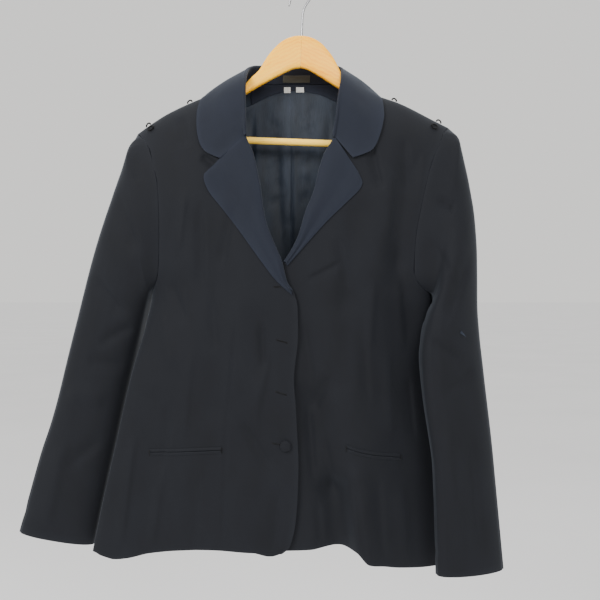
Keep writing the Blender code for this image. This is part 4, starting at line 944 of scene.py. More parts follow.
class Surface:
    """A material's node tree, with short ways to add and join nodes."""

    def __init__(self, name: str) -> None:
        """Start from a plain surface that reads its place on the object.

        Args:
            name: The material's name.
        """
        self.material = bpy.data.materials.new(name)
        self.material.use_nodes = True
        self.tree = self.material.node_tree
        self.shader = self.tree.nodes["Principled BSDF"]
        self.place = self.tree.nodes.new("ShaderNodeTexCoord").outputs["Object"]

    def constant(self, **values: float | tuple[float, ...]) -> None:
        """Set the shader's own sockets; an underscore in a name stands for a space."""
        for name, value in values.items():
            self.shader.inputs[name.replace("_", " ")].default_value = value

    def mapped(self, scale: Three, turn: Three = (0, 0, 0)) -> Socket:
        """The object's place, stretched and then turned.

        Args:
            scale: Stretch along each axis.
            turn: Turn about each axis.

        Returns:
            The place.
        """
        node = self.tree.nodes.new("ShaderNodeMapping")
        node.inputs["Scale"].default_value = scale
        node.inputs["Rotation"].default_value = turn
        self.tree.links.new(self.place, node.inputs["Vector"])
        return node.outputs["Vector"]

    def noise(self, vector: Socket, scale: float, detail: float = 3.0, rough: float = 0.5) -> Socket:
        """A soft uneven pattern.

        Args:
            vector: Where it is read.
            scale: How fine it is.
            detail: Its finer levels.
            rough: How strong those are.

        Returns:
            The pattern.
        """
        node = self.tree.nodes.new("ShaderNodeTexNoise")
        node.inputs["Scale"].default_value = scale
        node.inputs["Detail"].default_value = detail
        node.inputs["Roughness"].default_value = rough
        self.tree.links.new(vector, node.inputs["Vector"])
        return node.outputs["Fac"]

    def bands(self, vector: Socket, pitch: float, distortion: float = 0.0,
              detail_scale: float = 1.0) -> Socket:
        """Even bands across X, one for each pitch.

        Args:
            vector: Where they are read.
            pitch: The distance between bands.
            distortion: How uneven they are.
            detail_scale: How fine the unevenness is.

        Returns:
            The pattern.
        """
        node = self.tree.nodes.new("ShaderNodeTexWave")
        node.inputs["Scale"].default_value = math.pi / 10 / pitch
        node.inputs["Distortion"].default_value = distortion
        node.inputs["Detail Scale"].default_value = detail_scale
        self.tree.links.new(vector, node.inputs["Vector"])
        return node.outputs["Fac"]

    def sums(self, *terms: tuple[Socket, float]) -> Socket:
        """The weighted sum of several patterns.

        Args:
            terms: Pairs of a pattern and its weight.

        Returns:
            The sum's socket.
        """
        total = None
        for socket, weight in terms:
            node = self.tree.nodes.new("ShaderNodeMath")
            node.operation = "MULTIPLY_ADD"
            self.tree.links.new(socket, node.inputs[0])
            node.inputs[1].default_value = weight
            if total is None:
                node.inputs[2].default_value = 0.0
            else:
                self.tree.links.new(total, node.inputs[2])
            total = node.outputs[0]
        return total

    def attribute(self, name: str) -> Socket:
        """A value that the mesh holds at each point.

        Args:
            name: The value's name.

        Returns:
            The value.
        """
        node = self.tree.nodes.new("ShaderNodeAttribute")
        node.attribute_name = name
        return node.outputs["Fac"]

    def blend(self, factor: Socket, *stops: tuple[float, Three]) -> Socket:
        """A colour ramp along a pattern.

        Args:
            factor: The pattern.
            stops: Pairs of a place from 0 to 1 and a colour.

        Returns:
            The colour's socket.
        """
        node = self.tree.nodes.new("ShaderNodeValToRGB")
        while len(node.color_ramp.elements) < len(stops):
            node.color_ramp.elements.new(0.5)
        for element, (place, colour) in zip(node.color_ramp.elements, stops):
            element.position = place
            element.color = (*colour, 1.0)
        self.tree.links.new(factor, node.inputs["Fac"])
        return node.outputs["Color"]

    def level(self, factor: Socket, low: float, high: float) -> Socket:
        """A pattern from 0 to 1 brought between two values.

        Args:
            factor: The pattern.
            low: Its new lowest value.
            high: Its new highest.

        Returns:
            The new pattern.
        """
        node = self.tree.nodes.new("ShaderNodeMapRange")
        node.inputs["To Min"].default_value = low
        node.inputs["To Max"].default_value = high
        self.tree.links.new(factor, node.inputs["Value"])
        return node.outputs["Result"]

    def wire(self, socket: Socket, name: str) -> None:
        """Join a pattern to one of the shader's sockets."""
        self.tree.links.new(socket, self.shader.inputs[name])

    def bump(self, height: Socket, distance: float, strength: float) -> None:
        """Raise the surface's shading by a pattern.

        Args:
            height: The pattern.
            distance: Its full height.
            strength: How much of it shows.
        """
        node = self.tree.nodes.new("ShaderNodeBump")
        node.inputs["Distance"].default_value = distance
        node.inputs["Strength"].default_value = strength
        self.tree.links.new(height, node.inputs["Height"])
        self.tree.links.new(node.outputs["Normal"], self.shader.inputs["Normal"])


@dataclass(frozen=True)
class WoolFinish:
    """Dark wool twill with a fine diagonal, a short nap and a painted sheen that makes its pressed edges a
    little brighter.
    """

    name: str
    base: Three
    light: Three
    sheen: float
    gloss: float = 0.15
    roughness: float = 0.78
    pitch: float = 0.0012
    twill_angle: float = math.radians(58)

    def material(self) -> Material:
        """The finish as a material.

        Returns:
            The material.
        """
        look = Surface(self.name)
        twill = look.bands(look.mapped((1, 1, 1), (0, self.twill_angle, 0)), self.pitch, 0.6)
        nap = look.noise(look.place, 1300, 4)
        cloudy = look.noise(look.mapped((1, 1, 0.5)), 22, 4, 0.6)
        # The 'pressed' value is painted sheen, lightening the colour towards the borders.
        tone = look.sums((cloudy, 0.55), (twill, 0.14), (nap, 0.22), (look.attribute("pressed"), 0.22))
        look.wire(look.blend(tone, (0.22, self.base), (0.86, self.light)), "Base Color")
        look.wire(look.level(look.sums((nap, 0.5), (cloudy, 0.5)), self.roughness - 0.1,
                             self.roughness + 0.1), "Roughness")
        look.constant(Specular_IOR_Level=self.gloss, Sheen_Weight=self.sheen, Sheen_Roughness=0.42,
                      Sheen_Tint=(0.75, 0.85, 1.0, 1.0))
        look.bump(look.sums((twill, 0.5), (nap, 0.6)), 0.00025, 0.45)
        return look.material


@dataclass(frozen=True)
class SatinFinish:
    """Slate satin lining: long floats, with soft streaks of painted highlight where they catch the light."""

    name: str
    base: Three
    light: Three

    def material(self) -> Material:
        """The finish as a material.

        Returns:
            The material.
        """
        look = Surface(self.name)
        floats = look.noise(look.mapped((900, 900, 90)), 1.0, 2)
        # Painted highlight: these stretched streaks lighten the satin's colour where its floats would catch
        # the light.
        highlight_streaks = look.noise(look.mapped((60, 60, 9)), 1.0, 3)
        tone = look.sums((floats, 0.35), (highlight_streaks, 0.65))
        look.wire(look.blend(tone, (0.3, self.base), (0.75, self.light)), "Base Color")
        look.wire(look.level(highlight_streaks, 0.42, 0.56), "Roughness")
        look.constant(Specular_IOR_Level=0.12, Sheen_Weight=0.03, Sheen_Roughness=0.4, Anisotropic=0.4)
        look.bump(floats, 0.0001, 0.3)
        return look.material


@dataclass(frozen=True)
class TapeFinish:
    """Woven tape or label cloth, with fine ribs both ways."""

    name: str
    base: Three
    light: Three
    pitch: float

    def material(self) -> Material:
        """The finish as a material.

        Returns:
            The material.
        """
        look = Surface(self.name)
        warp = look.bands(look.place, self.pitch)
        weft = look.bands(look.mapped((1, 1, 1), (0, math.pi / 2, 0)), self.pitch)
        uneven = look.noise(look.place, 160, 3)
        tone = look.sums((warp, 0.3), (weft, 0.3), (uneven, 0.4))
        look.wire(look.blend(tone, (0.2, self.base), (0.8, self.light)), "Base Color")
        look.wire(look.level(uneven, 0.65, 0.85), "Roughness")
        look.constant(Sheen_Weight=0.2)
        look.bump(look.sums((warp, 0.5), (weft, 0.5)), 0.00015, 0.5)
        return look.material


@dataclass(frozen=True)
class ThreadFinish:
    """Twisted sewing thread."""

    name: str
    base: Three
    light: Three

    def material(self) -> Material:
        """The finish as a material.

        Returns:
            The material.
        """
        look = Surface(self.name)
        twist = look.bands(look.mapped((1, 1, 1), (0.6, 0.8, 0.3)), 0.0004)
        fuzz = look.noise(look.place, 2600, 2)
        look.wire(look.blend(look.sums((twist, 0.6), (fuzz, 0.4)), (0.2, self.base), (0.8, self.light)),
                  "Base Color")
        look.wire(look.level(fuzz, 0.5, 0.75), "Roughness")
        look.constant(Sheen_Weight=0.05, Specular_IOR_Level=0.15)
        look.bump(twist, 0.0001, 0.5)
        return look.material


@dataclass(frozen=True)
class WoodFinish:
    """Pale varnished wood with long grain, darker growth lines and fine pores."""

    name: str
    pale: Three
    warm: Three
    line: Three
    lean: float
    coat: float = 0.35

    def material(self) -> Material:
        """The finish as a material.

        Returns:
            The material.
        """
        look = Surface(self.name)
        along = look.mapped((5, 30, 34), (0, self.lean, 0))
        figure = look.noise(along, 1.6, 5, 0.6)
        growth = look.bands(look.mapped((1, 1, 1), (0, self.lean + math.pi / 2, 0)), 0.0055, 5.0, 1.6)
        pores = look.noise(look.mapped((70, 900, 900), (0, self.lean, 0)), 1.0, 2)
        tone = look.sums((figure, 0.6), (growth, 0.2), (pores, 0.2))
        look.wire(look.blend(tone, (0.22, self.line), (0.42, self.warm), (0.7, self.pale)), "Base Color")
        look.wire(look.level(pores, 0.28, 0.42), "Roughness")
        look.constant(Coat_Weight=self.coat, Coat_Roughness=0.2, Specular_IOR_Level=0.2)
        look.bump(look.sums((pores, 0.6), (growth, 0.4)), 0.00012, 0.35)
        return look.material


@dataclass(frozen=True)
class WireFinish:
    """Plated wire, drawn lengthways and a little worn."""

    name: str
    base: Three
    worn: Three

    def material(self) -> Material:
        """The finish as a material.

        Returns:
            The material.
        """
        look = Surface(self.name)
        drawn = look.noise(look.mapped((900, 900, 120)), 1.0, 3)
        wear = look.noise(look.place, 180, 4, 0.65)
        look.wire(look.blend(look.sums((drawn, 0.4), (wear, 0.6)), (0.35, self.worn), (0.6, self.base)),
                  "Base Color")
        look.wire(look.level(wear, 0.2, 0.4), "Roughness")
        look.constant(Metallic=1.0)
        look.bump(drawn, 0.00005, 0.3)
        return look.material


@dataclass(frozen=True)
class FloorFinish:
    """A plain pale floor."""

    name: str = "pale_floor"
    base: Three = (0.74, 0.74, 0.75)
    light: Three = (0.78, 0.78, 0.79)
    glow: float = 0.20

    def material(self) -> Material:
        """The finish as a material.

        Returns:
            The material.
        """
        look = Surface(self.name)
        soft = look.noise(look.place, 0.8, 3)
        look.wire(look.blend(soft, (0.3, self.base), (0.7, self.light)), "Base Color")
        look.constant(Roughness=0.9, Specular_IOR_Level=0.0, Emission_Color=(0.93, 0.92, 0.90, 1.0),
                      Emission_Strength=self.glow)
        return look.material


@dataclass
class Wardrobe:
    """All the finishes, made once."""

    cloth_look: WoolFinish = WoolFinish("navy_wool", (0.0036, 0.0040, 0.0056), (0.0088, 0.0098, 0.0130), 0.09)
    # The facing is the same navy wool as the cloth, painted lighter and bluer to stand in for the sheen of
    # the pressed lapels and collar.
    facing_look: WoolFinish = WoolFinish("navy_wool_painted_sheen", (0.0058, 0.0072, 0.0122),
                                         (0.0128, 0.0158, 0.0252), 0.12)
    # The satin's lighter colour shows mostly as painted highlight in its streaks.
    satin_look: SatinFinish = SatinFinish("slate_satin", (0.0080, 0.0110, 0.0165), (0.0270, 0.0350, 0.0500))
    label_look: TapeFinish = TapeFinish("olive_label", (0.010, 0.010, 0.006), (0.032, 0.030, 0.016), 0.0009)
    tab_look: TapeFinish = TapeFinish("white_tape", (0.34, 0.34, 0.32), (0.52, 0.52, 0.50), 0.0008)
    thread_look: ThreadFinish = ThreadFinish("dark_thread", (0.0016, 0.0016, 0.0020),
                                             (0.0050, 0.0052, 0.0062))
    right_wood: WoodFinish = WoodFinish("beech_right", (1.00, 0.55, 0.03), (1.00, 0.47, 0.015),
                                        (0.92, 0.36, 0.008), 0.45, 0.04)
    left_wood: WoodFinish = WoodFinish("beech_left", (1.00, 0.52, 0.025), (0.98, 0.43, 0.012),
                                       (0.86, 0.32, 0.006), -0.45, 0.04)
    bar_look: WoodFinish = WoodFinish("beech_bar", (1.00, 0.70, 0.12), (1.00, 0.62, 0.08),
                                      (0.92, 0.48, 0.04), 0.0, 0.03)
    wire_look: WireFinish = WireFinish("plated_wire", (0.30, 0.30, 0.31), (0.17, 0.17, 0.17))

    def __post_init__(self) -> None:
        """Turn each finish into its material."""
        self.cloth = self.cloth_look.material()
        # A lighter copy of the wool: its extra brightness is painted sheen.
        self.facing = self.facing_look.material()
        self.satin = self.satin_look.material()
        self.label = self.label_look.material()
        self.tab = self.tab_look.material()
        self.thread = self.thread_look.material()
        self.wood = {RIGHT: self.right_wood.material(), LEFT: self.left_wood.material()}
        self.bar = self.bar_look.material()
        self.wire = self.wire_look.material()


@dataclass
class FrontPanel:
    """One front: from the hem to the shoulder, and from its front edge to its side and armhole."""

    side: Side
    looks: Wardrobe
    wall: float = 0.002
    columns: int = 116
    lower_rows: int = 112
    upper_rows: int = 92
    hem_reach: float = 0.14
    end_fade: float = 0.05
    armhole_fade: float = 0.07
    seam_back: float = 0.0003
    seam_from: float = 0.97
    lift_power: int = 3
    cuts: dict[Side, Cut] = field(default_factory=lambda: {
        RIGHT: Cut(0.31, 0.74, 0.155), LEFT: Cut(0.33, 0.76, 0.170)})

    def rows(self) -> Rows:
        """Outer points, row by row from the hem up.

        Returns:
            The rows.
        """
        side, under = self.side, FORM.underarm[self.side]
        foot, neck, shoulder_tip = EDGE[side][0], EDGE[side][-1], ARMHOLE[side][-1]
        levels = []
        for i in range(self.lower_rows):
            t = i / self.lower_rows
            levels.append((mix(foot.z, under, t), mix(HEM_SIDE[side], under, t), 0.0))
        for i in range(self.upper_rows + 1):
            t = i / self.upper_rows
            levels.append((mix(under, neck.z, t), mix(under, shoulder_tip.z, t), t))
        return [self._row(edge_z, side_z, up) for edge_z, side_z, up in levels]

    def _row(self, edge_z: float, side_z: float, up: float) -> list[Vector]:
        """One row of points between its two ends' heights.

        Args:
            edge_z: Height at the front edge.
            side_z: Height at the side.
            up: Share of the way from the underarm to the shoulder.

        Returns:
            The row's points.
        """
        side = self.side
        foot, neck, shoulder_tip = EDGE[side][0], EDGE[side][-1], ARMHOLE[side][-1]
        start, end = FORM.edge[side].at("x", edge_z), FORM.boundary_x(side, side_z)
        row = []
        for c in range(self.columns + 1):
            share = c / self.columns
            place = spread(math.sin(share * math.pi / 2), share, up)
            x, level = mix(start, end, place), mix(edge_z, side_z, place)
            straight = mix(foot.z, HEM_SIDE[side], place)
            low = 1 - ramp(0.0, self.hem_reach, level - straight)
            hem = (FORM.hem[side].at("z", x) - straight) * ramp(0.0, self.end_fade, 1 - place)
            top = FORM.shoulder.at("z", x) - mix(neck.z, shoulder_tip.z, place)
            top *= mix(ramp(0.0, self.armhole_fade, 1 - place), 1.0, ramp(self.seam_from, 1.0, up))
            z = level + (low * hem + top * up ** self.lift_power) * ramp(0.0, self.end_fade, place)
            row.append(Vector((x, FORM.front_y(side, x, z), z)))
        row[-1] += (row[-2] - row[-1]).normalized() * self.seam_back
        return row

    def build(self) -> BVHTree:
        """Make the front.

        Returns:
            Its outer face as a surface, for what lies on it.
        """
        rows = self.rows()
        hand = self.side.name.lower()
        wall = Shell("cloth_front_" + hand, rows, self.wall, self.looks.cloth, self.looks.satin,
                     (FORM.centre, 0.3, -0.5))
        enter(wall.build(), ["front_" + hand])
        return surface(rows)


@dataclass
class BackPanel:
    """The back as one wall, its middle seam pressed in as a shallow crease."""

    looks: Wardrobe
    wall: float = 0.002
    columns: int = 140
    lower_rows: int = 100
    upper_rows: int = 84
    hem_reach: float = 0.14
    arch: float = 0.3
    seam_arch: float = 0.02
    seam_power: int = 6
    cut: Cut = Cut(0.61, 0.77, 0.345)

    def rows(self) -> Rows:
        """Outer points, row by row from the hem up and from the right side to the left.

        Returns:
            The rows.
        """
        rows = []
        for i in range(self.lower_rows + self.upper_rows + 1):
            if i < self.lower_rows:
                t, up = i / self.lower_rows, 0.0
                ends = [mix(HEM_SIDE[side], FORM.underarm[side], t) for side in Side]
            else:
                up = (i - self.lower_rows) / self.upper_rows
                ends = [mix(FORM.underarm[side], ARMHOLE[side][-1].z, up) for side in Side]
            rows.append(self._row(ends[0], ends[1], up))
        return rows

    def _row(self, right_z: float, left_z: float, up: float) -> list[Vector]:
        """One row of points between its two ends' heights.

        Args:
            right_z: Height at the right side.
            left_z: Height at the left side.
            up: Share of the way from the underarm to the shoulder.

        Returns:
            The row's points.
        """
        start, end = FORM.boundary_x(RIGHT, right_z), FORM.boundary_x(LEFT, left_z)
        row = []
        for c in range(self.columns + 1):
            share = c / self.columns
            place = spread(0.5 - 0.5 * math.cos(share * math.pi), share, up)
            x, level = mix(start, end, place), mix(right_z, left_z, place)
            base = mix(HEM_SIDE[RIGHT], HEM_SIDE[LEFT], place)
            low = 1 - ramp(0.0, self.hem_reach, level - base)
            middle = math.sin(place * math.pi)
            z = level + low * (BACK_HEM - base) * middle
            if up > 0:
                under = mix(FORM.underarm[RIGHT], FORM.underarm[LEFT], place)
                lifted = mix(under, FORM.top_z(x), up)
                bend = mix(self.arch, self.seam_arch, up ** self.seam_power)
                z = mix(level, lifted, max(0.0, middle) ** bend)
            if up == 1:
                z = FORM.top_z(x)
            row.append(Vector((x, FORM.back_y(x, z), z)))
        return row

    def build(self) -> BVHTree:
        """Make the back and return its outer face as a surface.

        Returns:
            Its outer face.
        """
        rows = self.rows()
        wall = Shell("cloth_back", rows, self.wall, self.looks.cloth, self.looks.satin,
                     (FORM.centre, -0.3, -0.5))
        enter(wall.build(), ["back"])
        return surface(rows)


@dataclass
class Sleeve:
    """A two-piece sleeve: an upper piece in front and an under piece behind."""

    side: Side
    looks: Wardrobe
    wall: float = 0.002
    rings: int = 20
    steps: int = 12
    finer: int = 5
    clear: float = 0.0055
    near: float = 0.022
    head_share: float = 0.07
    swell: float = 0.70
    seam_angle: float = 0.11
    seam_depth: float = 0.0013
    seam_width: float = 0.022
    cuff_fold: float = 0.032
    cuff_depth: float = 0.0009
    cuff_width: float = 0.0022
    armhole_steps: int = 160
    armhole_power: float = 1.5
    core_in: float = 0.05
    core_y: float = 0.012
    push: float = 0.0005
    pushes: int = 160
    under_arm: float = 0.004
    ring_power: float = 1.25
    border_fade: float = 0.06
    upper_seed: float = 9.0
    under_seed: float = 13.0
    middle_ring: int = 5
    cuts: dict[Layer, Cut] = field(default_factory=lambda: {
        Layer.UPPER: Cut(0.20, 0.66, 0.083), Layer.UNDER: Cut(0.18, 0.62, 0.0755)})

    def _armhole(self, front: bool) -> list[Vector]:
        """Points of the armhole's front or back half, evenly from the shoulder tip to the underarm.

        Args:
            front: Whether the front half is meant.

        Returns:
            The points.
        """
        line, count = FORM.armhole[self.side], self.armhole_steps
        high, low = ARMHOLE[self.side][-1].z, FORM.underarm[self.side]
        fine = []
        for i in range(count + 1):
            z = mix(high, low, 1 - (1 - i / count) ** self.armhole_power)
            x = line.at("x", z)
            fine.append(Vector((x, FORM.body_y(x, z, front), z)))
        lengths = [0.0]
        for a, b in zip(fine, fine[1:]):
            lengths.append(lengths[-1] + (b - a).length)
        points = []
        for i in range(self.steps + 1):
            want = lengths[-1] * i / self.steps
            at = min(len(fine) - 2, bisect_right(lengths, want) - 1)
            share = (want - lengths[at]) / (lengths[at + 1] - lengths[at])
            points.append(fine[at].lerp(fine[at + 1], share))
        return points

    def _in_body(self, point: Vector, clear: float) -> bool:
        """Whether a point lies in the body form with a clearance round it.

        Args:
            point: The point.
            clear: The clearance.

        Returns:
            Whether it lies inside.
        """
        side = FORM.side_of(point.x)
        edge = FORM.tip(side, point.z)
        if (point.x - edge) * side > clear:
            return False
        x = point.x - side * clear
        x = x if (edge - x) * side > 0 else edge
        near, far = FORM.body_y(x, point.z, True), FORM.body_y(x, point.z, False)
        return near - clear < point.y < far + clear

    def _press_out(self, point: Vector, clear: float) -> Vector:
        """Move a point straight away from the body's inside until it is clear.

        Args:
            point: The point.
            clear: The clearance.

        Returns:
            The point, moved.
        """
        core = Vector((FORM.tip(self.side, point.z) - self.side * self.core_in, self.core_y, point.z))
        way = (point - core).normalized() * self.push
        for _ in range(self.pushes):
            if not self._in_body(point, clear):
                break
            point = point + way
        return point

    def coarse(self, front: bool) -> Rows:
        """The solid's own grid of points, from the armhole to the cuff.

        Args:
            front: Whether the upper piece is meant.

        Returns:
            The grid.
        """
        sections = [self._armhole(front)]
        for ring in SLEEVE[self.side]:
            outer = Vector((ring.outer_x, ring.outer_y, ring.outer_z))
            inner = Vector((ring.inner_x, ring.inner_y, ring.inner_z))
            middle, half = (outer + inner) / 2, (outer - inner) / 2
            depth = -ring.front if front else ring.back
            section = []
            for i in range(self.steps + 1):
                angle = math.pi * i / self.steps
                out = Vector((0, depth * max(0.0, math.sin(angle)) ** self.swell, 0))
                section.append(middle + half * math.cos(angle) + out)
            sections.append(section)
        count = len(SLEEVE[self.side])
        keys = [0.0] + [mix(self.head_share, 1.0, i / (count - 1)) for i in range(count)]
        lines = [Spline(keys, [section[c] for section in sections]) for c in range(self.steps + 1)]
        rows = []
        for r in range(self.rings + 1):
            row = [line.at((r / self.rings) ** self.ring_power) for line in lines]
            for c, point in enumerate(row):
                drop = (FORM.underarm[self.side] + self.under_arm - point.z) / self.near
                if r > 0 and drop > 0:
                    row[c] = self._press_out(point, self.clear * min(1.0, drop))
            rows.append(row)
        return rows

    def rows(self, front: bool) -> Rows:
        """The fine grid, with creases, the hind seam and the cuff's turned hem.

        Args:
            front: Whether the upper piece is meant.

        Returns:
            The grid.
        """
        rows = refine(self.coarse(front), self.finer, self.finer)
        creases = SLEEVE_CREASES[self.side]
        seed = self.upper_seed if front else self.under_seed
        last = len(rows) - 1
        for r, row in enumerate(rows):
            middle = (row[0] + row[-1]) / 2
            fade = ramp(0.0, self.border_fade, r / last)
            moved = []
            for c, point in enumerate(row):
                share = c / (len(row) - 1)
                inside = fade * ramp(0.0, self.border_fade, share) * ramp(0.0, self.border_fade, 1 - share)
                creased = crease_depth(creases, point.x, point.z) * FORM.crease_gain
                depth = (creased + FORM.waver(point.x, point.z, seed)) * inside
                off_seam = (share - self.seam_angle) / self.seam_width
                depth += self.seam_depth * math.exp(-off_seam ** 2) * fade
                off_hem = ((point - rows[last][c]).length - self.cuff_fold) / self.cuff_width
                depth += self.cuff_depth * math.exp(-off_hem ** 2)
                out = (point - middle).normalized()
                moved.append(point - out * depth)
            rows[r] = moved
        return rows

    def build(self) -> None:
        """Make both pieces."""
        middle = SLEEVE[self.side][self.middle_ring]
        x, z = (middle.outer_x + middle.inner_x) / 2, (middle.outer_z + middle.inner_z) / 2
        for layer in Layer:
            front = layer is Layer.UPPER
            name = layer.value + "_sleeve_" + self.side.name.lower()
            wall = Shell("cloth_" + name, self.rows(front), self.wall, self.looks.cloth,
                         self.looks.satin, (x, 0.3 if front else -0.3, z))
            enter(wall.build(), [name])


@dataclass
class Lapel:
    """A lapel that rolls out of its front's edge and lies back on the front."""

    side: Side
    looks: Wardrobe
    wall: float = 0.0018
    rows_up: int = 64
    columns: int = 26
    roll_steps: int = 6
    lift: float = 0.0030
    roll: float = 0.0035
    inset: float = 0.0034
    edge_power: float = 0.9
    tip_from: float = 0.975
    press: float = 0.0012
    press_from: float = 0.86
    swell_rate: float = 1.5
    swell_start: float = 0.08
    cuts: dict[Side, Cut] = field(default_factory=lambda: {
        RIGHT: Cut(0.10, 0.24, 0.0120), LEFT: Cut(0.09, 0.19, 0.0084)})

    def rows(self, front: BVHTree) -> Rows:
        """Outer points, from the break up to the gorge, starting behind the roll.

        Args:
            front: The front's outer face.

        Returns:
            The rows.
        """
        edge = Track(LAPEL_EDGE[self.side], "z")
        low, high = ROLL_SPAN[self.side]
        rows = []
        for r in range(self.rows_up + 1):
            t = r / self.rows_up
            roll_z = mix(low, high, t)
            roll_x = FORM.edge[self.side].at("x", roll_z) + self.side * self.inset
            edge_z = mix(LAPEL_EDGE[self.side][0].z, LAPEL_EDGE[self.side][-1].z, t ** self.edge_power)
            outer = Vector((edge.at("x", edge_z), 0, edge_z))
            tip = Vector((LAPEL_TOP[self.side].x, 0, LAPEL_TOP[self.side].z))
            outer = outer.lerp(tip, ramp(self.tip_from, 1.0, t))
            rows.append(self._row(front, Vector((roll_x, 0, roll_z)), outer))
        return rows

    def _row(self, front: BVHTree, roll: Vector, outer: Vector) -> list[Vector]:
        """One row: round the roll from behind, then over the front to the outer edge.

        Args:
            front: The front's outer face.
            roll: The roll's place.
            outer: The outer edge's place.

        Returns:
            The row's points.
        """
        flat = []
        for c in range(self.columns + 1):
            s = c / self.columns
            place = roll.lerp(outer, s)
            swell = math.sin(math.pi * min(1.0, s * self.swell_rate + self.swell_start))
            lift = self.lift + self.roll * swell * (1 - s)
            lift -= self.press * ramp(self.press_from, 1.0, s)
            flat.append(on_surface(front, place.x, place.z, lift))
        radius = self.inset
        heart = flat[0] + Vector((0, radius, 0))
        turned = []
        for i in range(self.roll_steps):
            turn = math.pi * i / self.roll_steps - math.pi / 2
            way = Vector((-self.side * math.cos(turn), -math.sin(turn), 0))
            turned.append(heart + way * radius)
        return turned + flat

    def build(self, front: BVHTree) -> None:
        """Make the lapel on its front.

        Args:
            front: The front's outer face.
        """
        hand = self.side.name.lower()
        # The lapel is the lighter wool, its colour painted with the pressed cloth's sheen.
        wall = Shell("cloth_lapel_" + hand, self.rows(front), self.wall, self.looks.facing,
                     self.looks.cloth, (FORM.centre - self.side * 0.02, 0.3, -0.4))
        enter(wall.build(), ["lapel_" + hand])


@dataclass
class Collar:
    """The collar: a stand up from the neck seam, a rolled fold and a fall over the shoulders."""

    looks: Wardrobe
    wall: float = 0.0018
    between: int = 2
    fold_radius: float = 0.0032
    fall_bulge: float = 0.003
    seam_gap: float = 0.001
    seam_in: float = 0.002
    seam_soft: float = 0.03
    core_share: float = 0.8
    core_down: float = 0.07
    push: float = 0.0004
    pushes: int = 200
    roof_back: float = 0.02
    fold_turns: Three = (45, 90, 135)
    fall_places: Four = (0.2, 0.45, 0.72, 1.0)
    clear: float = 0.0046
    down: int = 4
    across: int = 3
    cut: Cut = Cut(0.47, 0.115, 0.0475)

    def _seams(self) -> list[Vector]:
        """The neck seam's points, one for each station.

        Returns:
            The points.
        """
        points = []
        for row in COLLAR:
            x, z = row.seam_x, row.seam_z
            if row.where == "front":
                points.append(Vector((x, FORM.front_y(FORM.side_of(x), x, z) - self.seam_gap, z)))
            else:
                y = FORM.body_y(x, z, False)
                inward = self.seam_in * ramp(0.0, self.seam_soft, y)
                points.append(Vector((x, y - inward, z + self.seam_gap)))
        return points

    def _over_panels(self, point: Vector) -> Vector:
        """Lift a point of the fall off the shoulders, straight out from inside them.

        Args:
            point: The point.

        Returns:
            The point, moved.
        """
        core = Vector((point.x * self.core_share, 0.0, FORM.shoulder.at("z", point.x) - self.core_down))
        way = (point - core).normalized() * self.push
        for _ in range(self.pushes):
            roof = FORM.shoulder.at("z", point.x) + self.clear
            near, far = FORM.body_y(point.x, point.z, True), FORM.body_y(point.x, point.z, False)
            above = point.z > roof and point.y < self.roof_back
            if above or not near - self.clear < point.y < far + self.clear:
                break
            point = point + way
        return point

    def rows(self) -> Rows:
        """Outer points, from the right gorge round the back to the left one.

        Returns:
            The rows.
        """
        keys = list(range(len(COLLAR)))
        folds = Spline(keys, [Vector((s.fold_x, s.fold_y, s.fold_z)) for s in COLLAR])
        edges = Spline(keys, [Vector((s.edge_x, s.edge_y, s.edge_z)) for s in COLLAR])
        seams = Spline(keys, self._seams())
        rows = []
        for i in range((len(COLLAR) - 1) * self.between + 1):
            at = i / self.between
            seam, fold, edge = seams.at(at), folds.at(at), edges.at(at)
            up = (fold - seam).normalized()
            out = edge - fold
            out = (out - up * out.dot(up)).normalized()
            radius = self.fold_radius
            heart = fold - up * radius
            row = [seam, seam.lerp(heart - out * radius, 0.5), heart - out * radius]
            for angle in self.fold_turns:
                turn = math.radians(angle)
                row.append(heart - out * radius * math.cos(turn) + up * radius * math.sin(turn))
            outer = heart + out * radius
            row.append(outer)
            for s in self.fall_places:
                point = outer.lerp(edge, s) + out * self.fall_bulge * math.sin(math.pi * s)
                row.append(self._over_panels(point))
            rows.append(row)
        return refine(rows, self.down, self.across)

    def build(self) -> BVHTree:
        """Make the collar and return it as a surface, for the label on its stand.

        Returns:
            Its outer face.
        """
        rows = self.rows()
        # The collar is the lighter wool with painted sheen, outside and under.
        wall = Shell("cloth_collar", rows, self.wall, self.looks.facing, self.looks.facing,
                     (FORM.centre, 0.0, -0.30))
        enter(wall.build(), ["collar"])
        return surface(rows)


